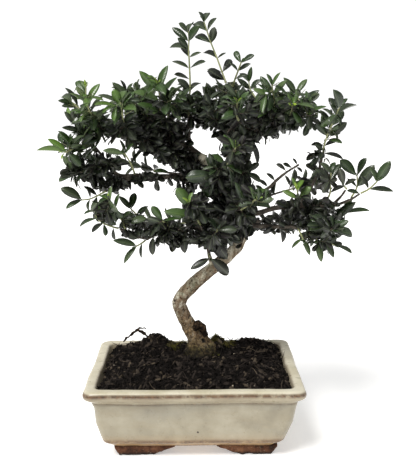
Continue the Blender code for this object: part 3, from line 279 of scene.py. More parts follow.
SPRAYS = {
    "left_top": Spray("upper_left_top", -46, (101, 127), [
        (100, 121, [(84, 123, 15), (116, 123, 25)]),
        (95, 116, [(72, 122, 15), (108.5, 108, 10)]),
        (90, 112, [(74, 112.5, 30), (103.5, 94.5, 60)]),
        (87, 103, [(70.5, 92.5, 65), (99.5, 83, 30)]),
        (86, 95, [(76.5, 79, 10), (92.5, 81, 50)]),
        (86, 89, [(81, 80, 30), (88, 79.5, 35)])]),
    "left_top_twig": Spray("upper_left_top", -22, (84, 114), [
        (78, 107, [(61, 105, 35), (66.5, 87.5, 60)]),
        (72, 102.5, [(60.5, 92.5, 30), (58.5, 100.5, 15)])]),
    "left_crest": Spray("left_mid", 6, (88, 138), [
        (82, 132, [(62, 127, 35), (95, 126, 30)]),
        (76, 125, [(64.5, 111.5, 10), (82, 116, 30)])]),
    "left_rim": Spray("left_mid", -36, (93, 145), [
        (80, 146, [(60, 136, 0)]),
        (73, 149, [(59.5, 130.5, 60)]),
        (66, 152, [(48, 138.5, 25), (36, 148.5, 60)])]),
    "left_edge": Spray("left_edge", 12, (84, 172), [
        (84, 171, [(73, 154, 25), (77, 181, 30)]),
        (78, 172, [(63, 156.5, 0), (57, 180, 40)])]),
    "left_under": Spray("left_mid_low", 20, (106, 191), [
        (97, 196, [(84, 186, 35), (94, 214, 35)]),
        (90, 199, [(87, 186, 60), (87, 210, 50)]),
        (82, 200, [(62.5, 187.5, 15), (65.5, 207.5, 45)])]),
    "left_low_end": Spray("left_low", -42, (119, 229), [
        (113, 227, [(113.5, 239.5, 45)]),
        (103, 223, [(106.5, 235.5, 25), (90.5, 231.5, 40)]),
        (97, 218, [(77.5, 224, 60), (108, 210, 40)]),
        (95, 211, [(94, 199, 40), (84, 212, 60)])]),
    "left_hanging": Spray("left_hanging", -36, (146, 240), [
        (142, 243, [(141, 258, 50)]),
        (137, 246, [(113.5, 240, 25), (123.5, 263, 40)])]),
    "left_low_twig": Spray("left_low_shoot", 2, (142, 221), [
        (136, 214, [(148, 206, 30), (122, 216, 40)]),
        (131, 209, [(119, 196, 20), (134.5, 192, 10)])]),
    "left_low_rise": Spray("left_low", -44, (125, 231), [
        (121, 219, [(130, 211, 40), (108, 214, 30)]),
        (115, 209, [(103, 201, 25), (119, 193, 40)]),
        (110, 201, [(111, 186, 35), (101, 192, 30)])]),
    "left_low_inner": Spray("left_low", -34, (170, 228), [
        (163, 221, [(152.5, 207, 5), (182, 217.5, 60)])]),
    "pale_tip": Spray("pale_side", -50, (201, 224), [
        (196, 217, [(164.5, 211, 20), (214, 208, 40)]),
        (192, 210, [(178, 189, 15), (205, 195, 20)]),
        (189, 203, [(183, 193, 30), (192, 192, 30)])]),
    "left_mid_rise": Spray("left_mid", -38, (134, 176), [
        (131, 164, [(141.5, 150.5, 55), (115, 166, 60)]),
        (125, 154, [(103, 150, 25), (120, 139, 50), (133, 143, 50)])]),
    "leader_end": Spray("left_leader", 32, (146, 117), [
        (138, 108, [(111, 107.5, 40), (153, 101, 30)]),
        (131, 100, [(112.5, 82.5, 0), (140, 84, 20)]),
        (126, 92, [(121, 80, 50), (132.5, 83, 50)])]),
    "upper_left_rise": Spray("upper_left", -42, (128, 138), [
        (124, 124, [(111, 111, 15), (133, 116, 20)]),
        (121, 104, [(98.5, 94, 60), (113, 90.5, 25)])]),
    "leader_rise": Spray("left_leader", -24, (160, 129), [
        (160, 112, [(137.5, 103, 25), (178, 103, 30)]),
        (160, 100, [(134, 91, 30), (176, 76, 58)]),
        (159, 92, [(139.5, 71, 5), (167, 64.5, 35)]),
        (158, 85, [(149, 75, 40), (155, 72, 20)])]),
    "upright": Spray("upright", 18, (188, 100), [
        (190, 91, [(180, 79.5, 25), (199, 80, 50)]),
        (190, 79, [(175.5, 72.5, 55)]),
        (189.5, 68, [(172, 60.5, 50), (204, 59.5, 60)]),
        (189, 57, [(182, 45, 30), (201, 52, 45)]),
        (188.5, 49, [(169.5, 43.5, 50), (178.5, 38, 20)]),
        (189, 41, [(172, 27, 15), (197, 25.5, 30)]),
        (188.5, 33, [(181, 23, 50), (190.5, 20, 45)])]),
    "apex": Spray("apex_left", 14, (226, 84), [
        (225, 80, [(209.5, 70, 10)]),
        (222, 72, [(231.5, 58.5, 5), (206.5, 71, 45)]),
        (217, 58, [(203.5, 49, 45), (226, 52.5, 50)]),
        (211, 43, [(195.5, 33, 35), (214, 29, 5)]),
        (207, 31, [(194, 20, 30), (214.5, 16, 50)]),
        (204, 22, [(207.5, 10.5, 25), (199.5, 12, 50)])]),
    "apex_right": Spray("apex_right", -32, (232, 86), [
        (235, 79, [(246, 73.5, 50)]),
        (238, 71, [(229.5, 62, 45), (250, 63, 45)]),
        (241, 63, [(234.5, 50, 0), (253, 54, 40)])]),
    "upper_right_top": Spray("upper_right_top", 24, (259, 108), [
        (256, 99, [(266, 91, 40), (243, 93, 50)]),
        (250, 89, [(237.5, 78.5, 10), (259.5, 79, 35)]),
        (249, 82, [(251.3, 66.8, 15), (240, 72, 40)])]),
    "upper_right_rise": Spray("upper_right", -34, (270, 122), [
        (274, 106, [(286, 96, 30), (261, 99, 35)]),
        (273, 94, [(286.5, 80, 15), (260, 76, 0)]),
        (272, 86, [(280, 72, 50), (267, 73, 40)])]),
    "upper_right_front": Spray("upper_right", -44, (286, 121), [
        (292, 112, [(277, 98, 15), (308, 103, 30)]),
        (292, 106, [(288, 94, 30), (297, 94, 40)])]),
    "upper_right_end": Spray("upper_right", 12, (300, 116), [
        (300, 105, [(318.8, 90, 25), (284.5, 93, 45)]),
        (296, 94, [(284, 77.5, 25), (307, 78.5, 20)])]),
    "upper_right_out": Spray("upper_right", -30, (293, 118), [
        (306, 115, [(326, 105.5, 60), (311.5, 130, 25)])]),
    "right_shoot": Spray("right_shoot", -42, (322, 157), [
        (323, 153, [(343.5, 157.5, 60), (305, 158, 35)]),
        (324, 146, [(336, 139, 40), (311, 143, 40)]),
        (327, 136, [(317, 122, 10), (347.5, 122, 0)]),
        (331, 126, [(320, 109.5, 30), (344, 110, 0)]),
        (336, 115, [(331, 96, 25), (354, 100, 60)]),
        (339, 108, [(347, 97.5, 35), (338, 93, 45)])]),
    "right_low_rise": Spray("right_low", -48, (325, 206), [
        (330, 193, [(315, 184, 30), (343, 184, 45)]),
        (330, 181, [(316, 169, 25), (340, 163, 20)]),
        (331, 174, [(334, 161, 20), (323, 163, 30)])]),
    "right_low_top": Spray("right_low_top", -44, (346, 190), [
        (344, 186, [(340, 169.5, 0), (356, 178, 40)])]),
    "right_low_end": Spray("right_low", -42, (360, 194), [
        (369, 189, [(393.6, 190.5, 45), (361, 175, 40)]),
        (376.5, 182, [(390, 161.5, 0), (372, 167, 35)])]),
    "right_low_side": Spray("right_low", 2, (352, 199), [
        (357, 187, [(374, 165.5, 0), (347, 178, 45)]),
        (357, 176, [(342, 160.5, 15), (364, 158, 40)])]),
    "low_right_end": Spray("low_right", -8, (326, 226), [
        (334, 218, [(355.5, 202, 5), (341, 230, 45)]),
        (345, 213, [(369.6, 209.5, 55), (350, 199, 30)])]),
    "low_right_under": Spray("low_right", -48, (320, 228), [
        (332, 230, [(348, 220.5, 20), (354.5, 233, 30)])]),
    "right_hanging": Spray("right_hanging", -34, (315, 236), [
        (317, 240, [(321.5, 262, 10), (305, 237, 40)])]),
    "right_hanging_out": Spray("low_right", 6, (318, 229), [
        (324, 238, [(334, 257.5, 15), (338.5, 234, 45)]),
        (334, 245, [(352.7, 250.6, 60)])]),
    "right_hanging_in": Spray("low_right", -40, (298, 229), [
        (303, 239, [(310, 255, 20), (291, 248, 45)])]),
    "right_low_front": Spray("right_low", -40, (294, 207), [
        (298, 199, [(310, 187, 15), (282, 190, 25)]),
        (297, 190, [(292, 177, 30), (303, 179, 30)])]),
    "front_low": Spray("front_shoot", -60, (241, 210), [
        (248, 205, [(235.5, 182.5, 20), (272, 203, 35)]),
        (255, 200, [(264, 187, 30), (251, 187, 30)])]),
    "front_mid": Spray("front_twig", -62, (213, 178), [
        (216, 174, [(187, 177.5, 0), (205, 197, 25)]),
        (226, 165, [(212, 154, 40), (244, 171, 40)]),
        (232, 156, [(224, 135.5, 0), (252.5, 141.5, 10)]),
        (235, 149, [(230, 138, 30), (242, 141, 30)])]),
    "front_high": Spray("front_top", -60, (238, 121), [
        (236, 113, [(217, 106, 30), (256, 108, 25)]),
        (237, 104, [(249, 91.5, 10), (226, 95, 45)])]),
    "pale_low": Spray("pale_side", -36, (209, 252), [
        (210, 258, [(190.5, 269, 10), (230, 275, 15)])]),
    "pale_mid": Spray("pale_side", -46, (208, 240), [
        (213, 237, [(226, 257, 0), (196, 246, 40)]),
        (217, 230, [(236, 229, 20), (208, 217, 30)])]),
    "inner_upright": Spray("upright", 36, (189, 122), [
        (196, 118, [(206, 126, 30), (203, 107, 20)]),
        (202, 110, [(212, 116, 40), (198, 98, 30)]),
        (210, 103, [(221, 111, 35), (206, 90, 30)]),
        (219, 99, [(231, 106, 30), (225, 87, 35)])]),
    "inner_leader": Spray("left_leader", -8, (172, 137), [
        (170, 129, [(156, 124, 25), (183, 130, 30)]),
        (168, 120, [(155, 113, 20), (182, 112, 35)]),
        (168, 111, [(155, 101, 30), (181, 99, 25)]),
        (168, 102, [(162, 88, 30), (174, 88, 25)])]),
    "inner_upper_left": Spray("upper_left", 26, (150, 147), [
        (149, 138, [(133, 135, 25), (163, 137, 20)]),
        (147, 128, [(134, 119, 30), (161, 124, 30)]),
        (146, 119, [(133, 110, 20), (159, 110, 25)]),
        (145, 109, [(138, 96, 30), (152, 96, 25)])]),
    "inner_right": Spray("right_leader", -22, (234, 140), [
        (225, 131, [(211, 137, 30), (226, 117, 25)]),
        (218, 122, [(203, 120, 20), (228, 111, 30)]),
        (214, 112, [(201, 107, 30), (221, 99, 25)])]),
    "inner_trunk": Spray("front_shoot", -44, (231, 207), [
        (228, 215, [(213, 209, 25), (245, 219, 20)]),
        (225, 224, [(211, 224, 30), (240, 231, 25)]),
        (222, 233, [(209, 240, 25), (234, 245, 30)])]),
    "inner_fork": Spray("right_leader", -32, (229, 175), [
        (238, 178, [(249, 189, 20), (246, 166, 35)]),
        (246, 173, [(261, 180, 30), (258, 163, 25)])]),
}


# Plan of the tree: shoots, stems and leaves before any mesh is made

Shoot = namedtuple("Shoot", "name points pairs")
Seat = namedtuple("Seat", "foot along normal size tint kind")


class Crowd:
    """Balls that stand for what has been placed, sorted into cells to find near ones fast."""
    CELL = 6.0

    def __init__(self):
        self.cells = {}
        self.points = []
        self.radii = []

    def cells_of(self, point, reach):
        """The cells that a ball can touch."""
        low = [int(math.floor((c - reach) / self.CELL)) for c in point]
        high = [int(math.floor((c + reach) / self.CELL)) for c in point]
        for i in range(low[0], high[0] + 1):
            for j in range(low[1], high[1] + 1):
                for k in range(low[2], high[2] + 1):
                    yield i, j, k

    def add(self, points, radii):
        """Place balls."""
        self.points += list(points)
        self.radii += list(radii)
        for point, radius in zip(points, radii):
            for cell in self.cells_of(point, radius):
                self.cells.setdefault(cell, []).append((*point, radius))

    def is_clear(self, points, radii, margin):
        for (x, y, z), radius in zip(points, radii):
            reach = radius + margin
            for cell in self.cells_of((x, y, z), max(reach, 0.0)):
                for px, py, pz, other in self.cells.get(cell, ()):
                    gap = reach + other
                    if (x - px) ** 2 + (y - py) ** 2 + (z - pz) ** 2 <= gap * gap and gap > 0:
                        return False
        return True


def balls_along(centres, radii, spacing=1.5):
    """Balls along a route, as thick as it is there: their centres and radii."""
    points, sizes = [], []
    for k in range(len(centres) - 1):
        a, b = Vector(centres[k]), Vector(centres[k + 1])
        count = max(1, int((b - a).length / spacing))
        for i in range(count + 1):
            t = i / count
            points.append(tuple(a.lerp(b, t)))
            sizes.append(radii[k] + (radii[k + 1] - radii[k]) * t)
    return points, sizes


def leaf_balls(foot, along, normal, length):
    """Balls that cover a blade from just past its foot."""
    side = along.cross(normal)
    half = length * LEAF_WIDTH_SHARE / 2
    points, sizes = [], []
    for t, share in ((0.2, 0.45), (0.36, 0.9), (0.52, 1.0), (0.68, 0.95), (0.84, 0.7),
                     (0.97, 0.25)):
        centre = foot + along * (t * length) - normal * (0.03 * length * t)
        spread = half * share
        for across in (-0.6, 0.0, 0.6):
            points.append(tuple(centre + side * (spread * across)))
            sizes.append(max(0.5, 0.42 * spread) + BLADE_THICKNESS / 2)
    return points, sizes


def branch_points(branch):
    """Centres and radii along a branch."""
    centres = [Vector(p) for p in branch.route]
    lengths = [0.0]
    for a, b in zip(centres, centres[1:]):
        lengths.append(lengths[-1] + (b - a).length)
    radii = [branch.thick + (branch.thin - branch.thick) * s / lengths[-1] for s in lengths]
    return centres, radii


def trunk_points():
    """Centres and radii along the trunk."""
    return [p[:3] for p in TRUNK_ROUTE], [p[3] for p in TRUNK_ROUTE]


def stem_route(start, first, last, length, steps=4):
    """Points of a stem that leaves along one direction and bends to another."""
    points = [start]
    for k in range(steps):
        share = (k + 0.5) / steps
        heading = (first * (1 - share) + last * share).normalized()
        points.append(points[-1] + heading * (length / steps))
    return points


def route_length(points):
    """The length of a polyline."""
    return sum((b - a).length for a, b in zip(points, points[1:]))


def along_path(points, distance):
    """Point and heading on a polyline at a distance from its start."""
    for a, b in zip(points, points[1:]):
        step = (b - a).length
        if distance <= step or b is points[-1]:
            return a + (b - a) * (distance / step), (b - a).normalized()
        distance -= step


def shoot_start(branch, share):
    """Point, direction and radius on a branch at a share of its length."""
    centres, radii = branch_points(branch)
    lengths = [0.0]
    for a, b in zip(centres, centres[1:]):
        lengths.append(lengths[-1] + (b - a).length)
    target = share * lengths[-1]
    k = max(i for i in range(len(centres) - 1) if lengths[i] <= target)
    t = (target - lengths[k]) / (lengths[k + 1] - lengths[k])
    heading = (centres[k + 1] - centres[k]).normalized()
    return centres[k].lerp(centres[k + 1], t), heading, radii[k] + (radii[k + 1] - radii[k]) * t


def splay(stem, across, turn, spread):
    """A leaf that stands off a stem, turned round it: the way it points and its upper side."""
    radial = Matrix.Rotation(turn, 3, stem) @ across
    along = (stem * math.cos(spread) + radial * math.sin(spread)).normalized()
    return along, (stem * math.sin(spread) - radial * math.cos(spread)).normalized()


def place_leaves(points, crowd, rng):
    """Opposite pairs, each a quarter turn from the last, turned aside where something is near."""
    length = route_length(points)
    across = (points[1] - points[0]).orthogonal().normalized()
    own = Crowd()
    pairs = []
    distance = FIRST_PAIR
    quarter = 0
    while distance < length - PAIR_HEIGHT:
        foot, stem = along_path(points, distance)
        across = (across - stem * across.dot(stem)).normalized()
        share = distance / length
        leaves = []
        for side in (quarter % 2, quarter % 2 + 2):
            size = LEAF_LENGTH * rng.uniform(0.85, 1.18) * (1.0 - 0.25 * share)
            spread = LEAF_SPREAD_LOW + (LEAF_SPREAD_TIP - LEAF_SPREAD_LOW) * share
            spread = math.radians(spread + rng.uniform(-8, 8))
            facing = (side + 0.5) * math.pi / 2 + rng.uniform(-0.15, 0.15)
            for aside in (0.0, 0.35, -0.35, 0.7, -0.7):
                along, normal = splay(stem, across, facing + aside, spread)
                balls = leaf_balls(foot, along, normal, size)
                if crowd.is_clear(*balls, LEAF_CLEARANCE) and own.is_clear(*balls, OWN_CLEARANCE):
                    leaves.append((along, normal, size))
                    own.add(*balls)
                    break
        pairs.append((distance, leaves))
        quarter += 1
        distance += PAIR_SPACING * rng.uniform(0.9, 1.1)
    return pairs, own


def spray_points(spray, lean):
    """A front shoot's stem: from its branch's skin through its pairs, a little past the last."""
    centres, radii = branch_points(BRANCHES[spray.carrier])
    centres, radii = balls_along(centres, radii, CARRIER_STEP)
    places = [picture(centre) for centre in centres]
    gaps = [math.dist(place, spray.start) for place in places]
    k = gaps.index(min(gaps))
    centre = Vector(centres[k])
    ahead = Vector(centres[min(k + 1, len(centres) - 1)])
    heading = (ahead - Vector(centres[max(k - 2, 0)])).normalized()
    count = len(spray.pairs)
    depths = [centre.y + (spray.depth + lean - centre.y) * (i + 1) / count for i in range(count)]
    nodes = [seen(pair[0], pair[1], depth) for pair, depth in zip(spray.pairs, depths)]
    first = (nodes[0] - centre).normalized()
    if k >= len(centres) - CARRIER_END_BALLS:
        end = Vector(centres[-1])
        turn = math.sqrt(max(0.0, 1.0 - first.dot(heading) ** 2))
        start = end + heading * (CLEAR + STEM_RADIUS * turn)
    else:
        out = (first - heading * first.dot(heading)).normalized()
        tilt = math.sqrt(max(0.0, 1.0 - first.dot(out) ** 2))
        start = centre + out * (radii[k] + SKIN_GAP + STEM_RADIUS * tilt)
    last = (nodes[-1] - (nodes[-2] if count > 1 else start)).normalized()
    return [start, *nodes, nodes[-1] + last * PAST_LAST_PAIR]


def seen_leaf(foot, leaf, lean):
    """A leaf whose tip is seen at its place: the way it points, its upper side and its length."""
    flat = seen(leaf[0], leaf[1], foot.y)
    tip = seen(leaf[0], leaf[1], foot.y + lean * (flat - foot).length)
    along = (tip - foot).normalized()
    to_eye = (Vector((0.0, -EYE_DISTANCE, EYE_HEIGHT)) - foot).normalized()
    facing = (to_eye - along * to_eye.dot(along)).normalized()
    other = along.cross(facing)
    if other.z < 0:
        other = -other
    roll = math.radians(leaf[2])
    return along, facing * math.cos(roll) + other * math.sin(roll), (tip - foot).length


def place_seen_leaves(spray, points, around):
    """A front shoot's leaves, each leaning back or forward where something is near, what they
    and the stem fill, and how many found no room."""
    own = Crowd()
    balls, sizes = balls_along(points, [STEM_RADIUS] * len(points))
    own.add(balls, sizes)
    pairs, missing = [], 0
    distance = 0.0
    sign = 1.0
    for k, pair in enumerate(spray.pairs):
        distance += (points[k + 1] - points[k]).length
        leaves = []
        foot, _ = along_path(points, distance - PAIR_HEIGHT / 2)
        for leaf in pair[2]:
            sign = -sign
            for lean in LEAF_LEANS:
                along, normal, size = seen_leaf(foot, leaf, lean * sign)
                balls, sizes = leaf_balls(foot, along, normal, size)
                if not around.is_clear(balls, sizes, LEAF_CLEARANCE):
                    continue
                if own.is_clear(balls, sizes, OWN_CLEARANCE):
                    leaves.append((along, normal, size))
                    own.add(balls, sizes)
                    break
            else:
                missing += 1
        pairs.append((distance, leaves))
    return pairs, own, missing


WOOD = {}


def wood_balls(carrier):
    """Balls of the trunk and of every branch but the carrier, and the carrier's own."""
    if carrier not in WOOD:
        others, own = Crowd(), Crowd()
        others.add(*balls_along(*trunk_points()))
        for name, branch in BRANCHES.items():
            crowd = own if name == carrier else others
            crowd.add(*balls_along(*branch_points(branch)))
        WOOD[carrier] = (others, own)
    return WOOD[carrier]


class Both:
    """Two crowds asked as one."""

    def __init__(self, *crowds):
        self.crowds = crowds

    def is_clear(self, points, radii, margin):
        return all(crowd.is_clear(points, radii, margin) for crowd in self.crowds)


def stem_is_clear(carrier, points, leafy):
    """Whether a stem keeps off all leaves and wood, but for its first stretch on its carrier."""
    others, own = wood_balls(carrier)
    balls, sizes = balls_along(points, [STEM_RADIUS] * len(points))
    free = OWN_BARK_BALLS
    return (others.is_clear(balls, sizes, CLEAR) and own.is_clear(balls[free:], sizes[free:], CLEAR)
            and leafy.is_clear(balls, sizes, LEAF_CLEARANCE))


def fit_spray(spray, around, leafy):
    """Lean a front shoot until its stem is clear and as many of its leaves as can be find room."""
    best = None
    for lean in SHOOT_LEANS:
        points = spray_points(spray, lean)
        if not stem_is_clear(spray.carrier, points, leafy):
            continue
        pairs, own, missing = place_seen_leaves(spray, points, around)
        if best is None or missing < best[0]:
            best = (missing, points, pairs, own)
        if not missing:
            break
    return best


def plan_shoots(wood, leafy):
    """The leafy shoots that the solids have, by the same rules and the same seed."""
    rng = random.Random(SHOOT_SEED)
    around = Both(wood, leafy)
    shoots = []

    def try_shoot(name, carrier, points):
        if not stem_is_clear(carrier, points, leafy):
            return False
        pairs, own = place_leaves(points, around, rng)
        shoots.append(Shoot(f"shoot_{name}", points, pairs))
        leafy.add(*balls_along(points, [STEM_RADIUS] * len(points)))
        leafy.add(own.points, own.radii)
        return True

    for name, spray in SPRAYS.items():
        fitted = fit_spray(spray, around, leafy)
        if fitted:
            _, points, pairs, own = fitted
            shoots.append(Shoot(f"shoot_{name}", points, pairs))
            leafy.add(own.points, own.radii)
    for name, branch in BRANCHES.items():
        if branch.tip:
            centres, _ = branch_points(branch)
            heading = (centres[-1] - centres[-2]).normalized()
            last = (heading + UP * TIP_RISE).normalized()
            points = stem_route(centres[-1] + heading * CLEAR, heading, last, branch.tip)
            try_shoot(f"{name}_tip", name, points)
    turn = 0.0
    for name, branch in BRANCHES.items():
        for k in range(branch.side_shoots):
            share = 0.45 + 0.45 * (k + 0.5) / branch.side_shoots
            centre, heading, radius = shoot_start(branch, share)
            across = heading.orthogonal().normalized()
            length = SIDE_SHOOT_LENGTH * rng.uniform(0.8, 1.1)
            for _ in range(TRIES):
                turn += GOLDEN_ANGLE
                out = Matrix.Rotation(turn, 3, heading) @ across
                start = centre + out * (radius + SKIN_GAP)
                last = (out + heading * 0.8 + UP * 0.5).normalized()
                if try_shoot(f"{name}_{k + 1}", name, stem_route(start, out, last, length)):
                    break
    return shoots


# Fill of the crown: short twigs with small leaves on the wood and the shoots. Each clump is a
# middle and half axes in the picture, the number of twigs, the leaves' length in millimetres and
# their tint: how young they are, and near black as painted shade where they lie deep in the crown

Clump = namedtuple("Clump", "middle axes twigs leaf tint")

CLUMPS = [
    Clump((82, 108), (18, 24), 20, 15, 0.44),
    Clump((118, 100), (18, 18), 20, 15, 0.40),
    Clump((148, 98), (20, 18), 26, 15, 0.36),
    Clump((186, 102), (22, 15), 30, 13, 0.26),
    Clump((226, 98), (20, 18), 30, 13, 0.26),
    Clump((265, 98), (20, 16), 26, 13, 0.32),
    Clump((298, 104), (22, 16), 24, 13, 0.34),
    Clump((333, 130), (10, 26), 12, 12, 0.25),
    Clump((80, 150), (20, 14), 22, 12, 0.22),
    Clump((118, 214), (24, 14), 18, 12, 0.22),
    Clump((330, 230), (22, 16), 24, 12, 0.22),
    Clump((222, 170), (16, 30), 26, 12, 0.16),
    Clump((250, 192), (20, 14), 20, 12, 0.22),
    Clump((90, 118), (18, 16), 24, 11, 0.22),
    Clump((76, 138), (20, 11), 22, 11, 0.20),
    Clump((108, 130), (18, 11), 46, 10, 0.08),
    Clump((128, 136), (14, 10), 40, 10, 0.05),
    Clump((146, 143), (14, 10), 49, 10, 0.03),
    Clump((166, 152), (14, 10), 49, 10, 0.02),
    Clump((184, 162), (14, 11), 54, 10, 0.02),
    Clump((132, 112), (18, 16), 34, 11, 0.16),
    Clump((156, 120), (24, 20), 94, 10, 0.06),
    Clump((174, 138), (22, 14), 81, 10, 0.03),
    Clump((206, 114), (26, 17), 94, 10, 0.05),
    Clump((232, 128), (15, 26), 81, 10, 0.04),
    Clump((242, 156), (12, 18), 68, 10, 0.03),
    Clump((262, 118), (28, 17), 108, 10, 0.05),
    Clump((296, 118), (20, 17), 68, 10, 0.08),
    Clump((268, 133), (30, 10), 81, 9, 0.02),
    Clump((301, 134), (12, 8), 30, 9, 0.03),
    Clump((318, 160), (12, 20), 24, 9, 0.10),
    Clump((316, 186), (18, 13), 24, 9, 0.05),
    Clump((300, 212), (28, 14), 84, 10, 0.04),
    Clump((328, 220), (18, 16), 59, 10, 0.08),
    Clump((318, 240), (16, 12), 35, 10, 0.06),
    Clump((92, 166), (24, 13), 59, 10, 0.06),
    Clump((112, 183), (26, 8), 54, 9, 0.03),
    Clump((74, 176), (12, 12), 24, 10, 0.12),
    Clump((150, 181), (24, 6), 35, 8, 0.03),
    Clump((196, 182), (22, 18), 81, 10, 0.04),
    Clump((222, 188), (20, 24), 108, 10, 0.04),
    Clump((206, 210), (22, 18), 94, 10, 0.03),
    Clump((234, 214), (18, 22), 108, 10, 0.03),
    Clump((224, 238), (22, 13), 81, 10, 0.03),
    Clump((246, 200), (12, 16), 46, 9, 0.03),
    Clump((150, 227), (30, 10), 81, 9, 0.04),
    Clump((180, 238), (22, 11), 68, 9, 0.03),
    Clump((114, 212), (20, 12), 35, 9, 0.08),
    Clump((276, 226), (22, 8), 35, 8, 0.04),
    Clump((211, 197), (12, 12), 54, 10, 0.03),
    Clump((270, 139), (17, 6), 54, 10, 0.02),
    Clump((240, 228), (10, 14), 54, 10, 0.03),
    Clump((236, 178), (12, 14), 54, 10, 0.03),
]
GREEN_LEAF = 12

# Where the photograph shows white between the leaves: pixel middles, half axes
WINDOWS = [
    (279, 163, 19, 17), (268, 176, 14, 12), (207, 143, 13, 9), (198, 134, 8, 6), (148, 193, 20, 12),
    (167, 172, 9, 3.5), (330, 145, 3, 8), (268, 208, 10, 5), (119, 143, 9, 4), (146, 161, 12, 5),
    (130, 205, 16, 7), (288, 196, 6, 5), (308, 172, 5, 4), (322, 196, 4, 3), (350, 205, 8, 5),
    (60, 190, 10, 8), (170, 214, 14, 5),
    (106, 90, 5, 6), (101, 107, 3, 4), (122, 112, 3, 2), (66, 118, 4, 4), (156, 106, 3, 2),
    (72, 96, 4, 3),
]
FILL_SEED = 23
# The share of each clump's twigs that grows: how airy the crown is
TWIG_SHARE = 0.62
TWIG_TRIES = 5
TWIG_LENGTHS = (5.0, 13.0)
TWIG_RADIUS = 0.42
TWIG_CARRIER_GAP = 3.0
TWIG_SHOOT_GAP = 4.0
TRUNK_IN_CROWN = 7
FEWEST_LEAVES = 2
SMALL_FIRST_PAIR = 2.6
SMALL_PAIR_GAPS = (3.0, 4.6)
SMALL_SIZES = (0.85, 1.5)
SMALL_SPREADS = (52, 80)
SMALL_TIP_CLOSING = 30
MIDRIB_BALLS = (0.4, 0.65, 0.9)
MIDRIB_SHARE = 0.07
MIDRIB_GAP = 0.15
CROWN_HEART = Vector((12.0, 4.0, 250.0))
# The crown is thin from front to back, so its leaves turn to these open sides
OPEN_SIDES = 3.0


def inside(place, middle, axes, slack=1.0):
    """Whether a place in the picture lies in an ellipse, made larger by the slack."""
    across, down = (place[0] - middle[0]) / axes[0], (place[1] - middle[1]) / axes[1]
    return across ** 2 + down ** 2 < slack * slack


def in_window(point):
    """Whether a point is seen where the photograph shows white."""
    place = picture(point)
    return any(inside(place, (x, y), (across, down)) for x, y, across, down in WINDOWS)


def lit_side(foot, along, rng):
    """The way a small leaf's upper side turns: out of the crown and up, a little at random."""
    outward = foot - CROWN_HEART
    outward.y *= OPEN_SIDES
    outward = outward.normalized() * 1.1 + UP * 0.35
    outward += Vector([rng.uniform(-0.6, 0.6) for _ in range(3)])
    return (outward - along * outward.dot(along)).normalized()


def twig_leaves(points, clump, crowd, rng):
    """Small opposite leaves along a twig, each off the windows and off the rest."""
    length = route_length(points)
    across = (points[1] - points[0]).orthogonal().normalized()
    seats = []
    distance = SMALL_FIRST_PAIR
    quarter = rng.randrange(2)
    while distance < length + 0.1:
        foot, stem = along_path(points, min(distance, length))
        across = (across - stem * across.dot(stem)).normalized()
        for side in (0, 1):
            size = clump.leaf * rng.uniform(*SMALL_SIZES)
            spread = rng.uniform(*SMALL_SPREADS) - SMALL_TIP_CLOSING * (distance / length)
            facing = (quarter * 0.5 + side) * math.pi + rng.uniform(-0.5, 0.5)
            along, _ = splay(stem, across, facing, math.radians(spread))
            normal = lit_side(foot, along, rng)
            tip = foot + along * size
            if in_window(foot + along * (size * 0.5)) or in_window(tip):
                continue
            if not inside(picture(tip), clump.middle, clump.axes, 1.3):
                continue
            balls = [tuple(foot + along * (size * t)) for t in MIDRIB_BALLS]
            radii = [size * MIDRIB_SHARE] * len(balls)
            if not crowd.is_clear(balls, radii, MIDRIB_GAP):
                continue
            crowd.add(balls, radii)
            # the tint says how young a leaf is, and for inner clumps paints shade near black
            fresh_and_shade = clump.tint * 1.2 + rng.uniform(-0.06, 0.12)
            kinds = BLADES if clump.leaf >= GREEN_LEAF else SMALL_BLADES
            seats.append(Seat(foot, along, normal, size, fresh_and_shade, rng.randrange(len(kinds))))
        quarter = 1 - quarter
        distance += rng.uniform(*SMALL_PAIR_GAPS)
    return seats


def plan_fill(shoots):
    """Short twigs on wood and shoots in each clump, with their dark and their green leaves."""
    rng = random.Random(FILL_SEED)
    crowd = Crowd()
    carriers = []
    for branch in BRANCHES.values():
        carriers += balls_along(*branch_points(branch), TWIG_CARRIER_GAP)[0][1:]
    carriers += [p[:3] for p in TRUNK_ROUTE[-TRUNK_IN_CROWN:]]
    for shoot in shoots:
        radii = [STEM_RADIUS] * len(shoot.points)
        carriers += balls_along(shoot.points, radii, TWIG_SHOOT_GAP)[0]
    places = [picture(point) for point in carriers]
    twigs, dark, green = [], [], []
    for clump in CLUMPS:
        near = [c for c, p in zip(carriers, places) if inside(p, clump.middle, clump.axes, 1.15)]
        wanted = round(clump.twigs * TWIG_SHARE) if near else 0
        grown, waiting = 0, []
        for _ in range(wanted * TWIG_TRIES):
            if grown == wanted:
                break
            if not waiting:
                waiting = rng.sample(near, len(near))
            origin = Vector(waiting.pop())
            out = Vector([rng.gauss(0, 1) for _ in range(3)])
            out = (out.normalized() + UP * 0.2).normalized()
            length = rng.uniform(*TWIG_LENGTHS)
            last = out + Vector([rng.uniform(-0.5, 0.5) for _ in range(3)]) + UP * 0.3
            points = stem_route(origin, out, last.normalized(), length, 3)
            if in_window(points[-1]):
                continue
            found = twig_leaves(points, clump, crowd, rng)
            if len(found) < FEWEST_LEAVES:
                continue
            grown += 1
            twigs.append((points, TWIG_RADIUS, clump.tint))
            (green if clump.leaf >= GREEN_LEAF else dark).extend(found)
    return twigs, dark, green


WOOD_LEAF_SEED = 5

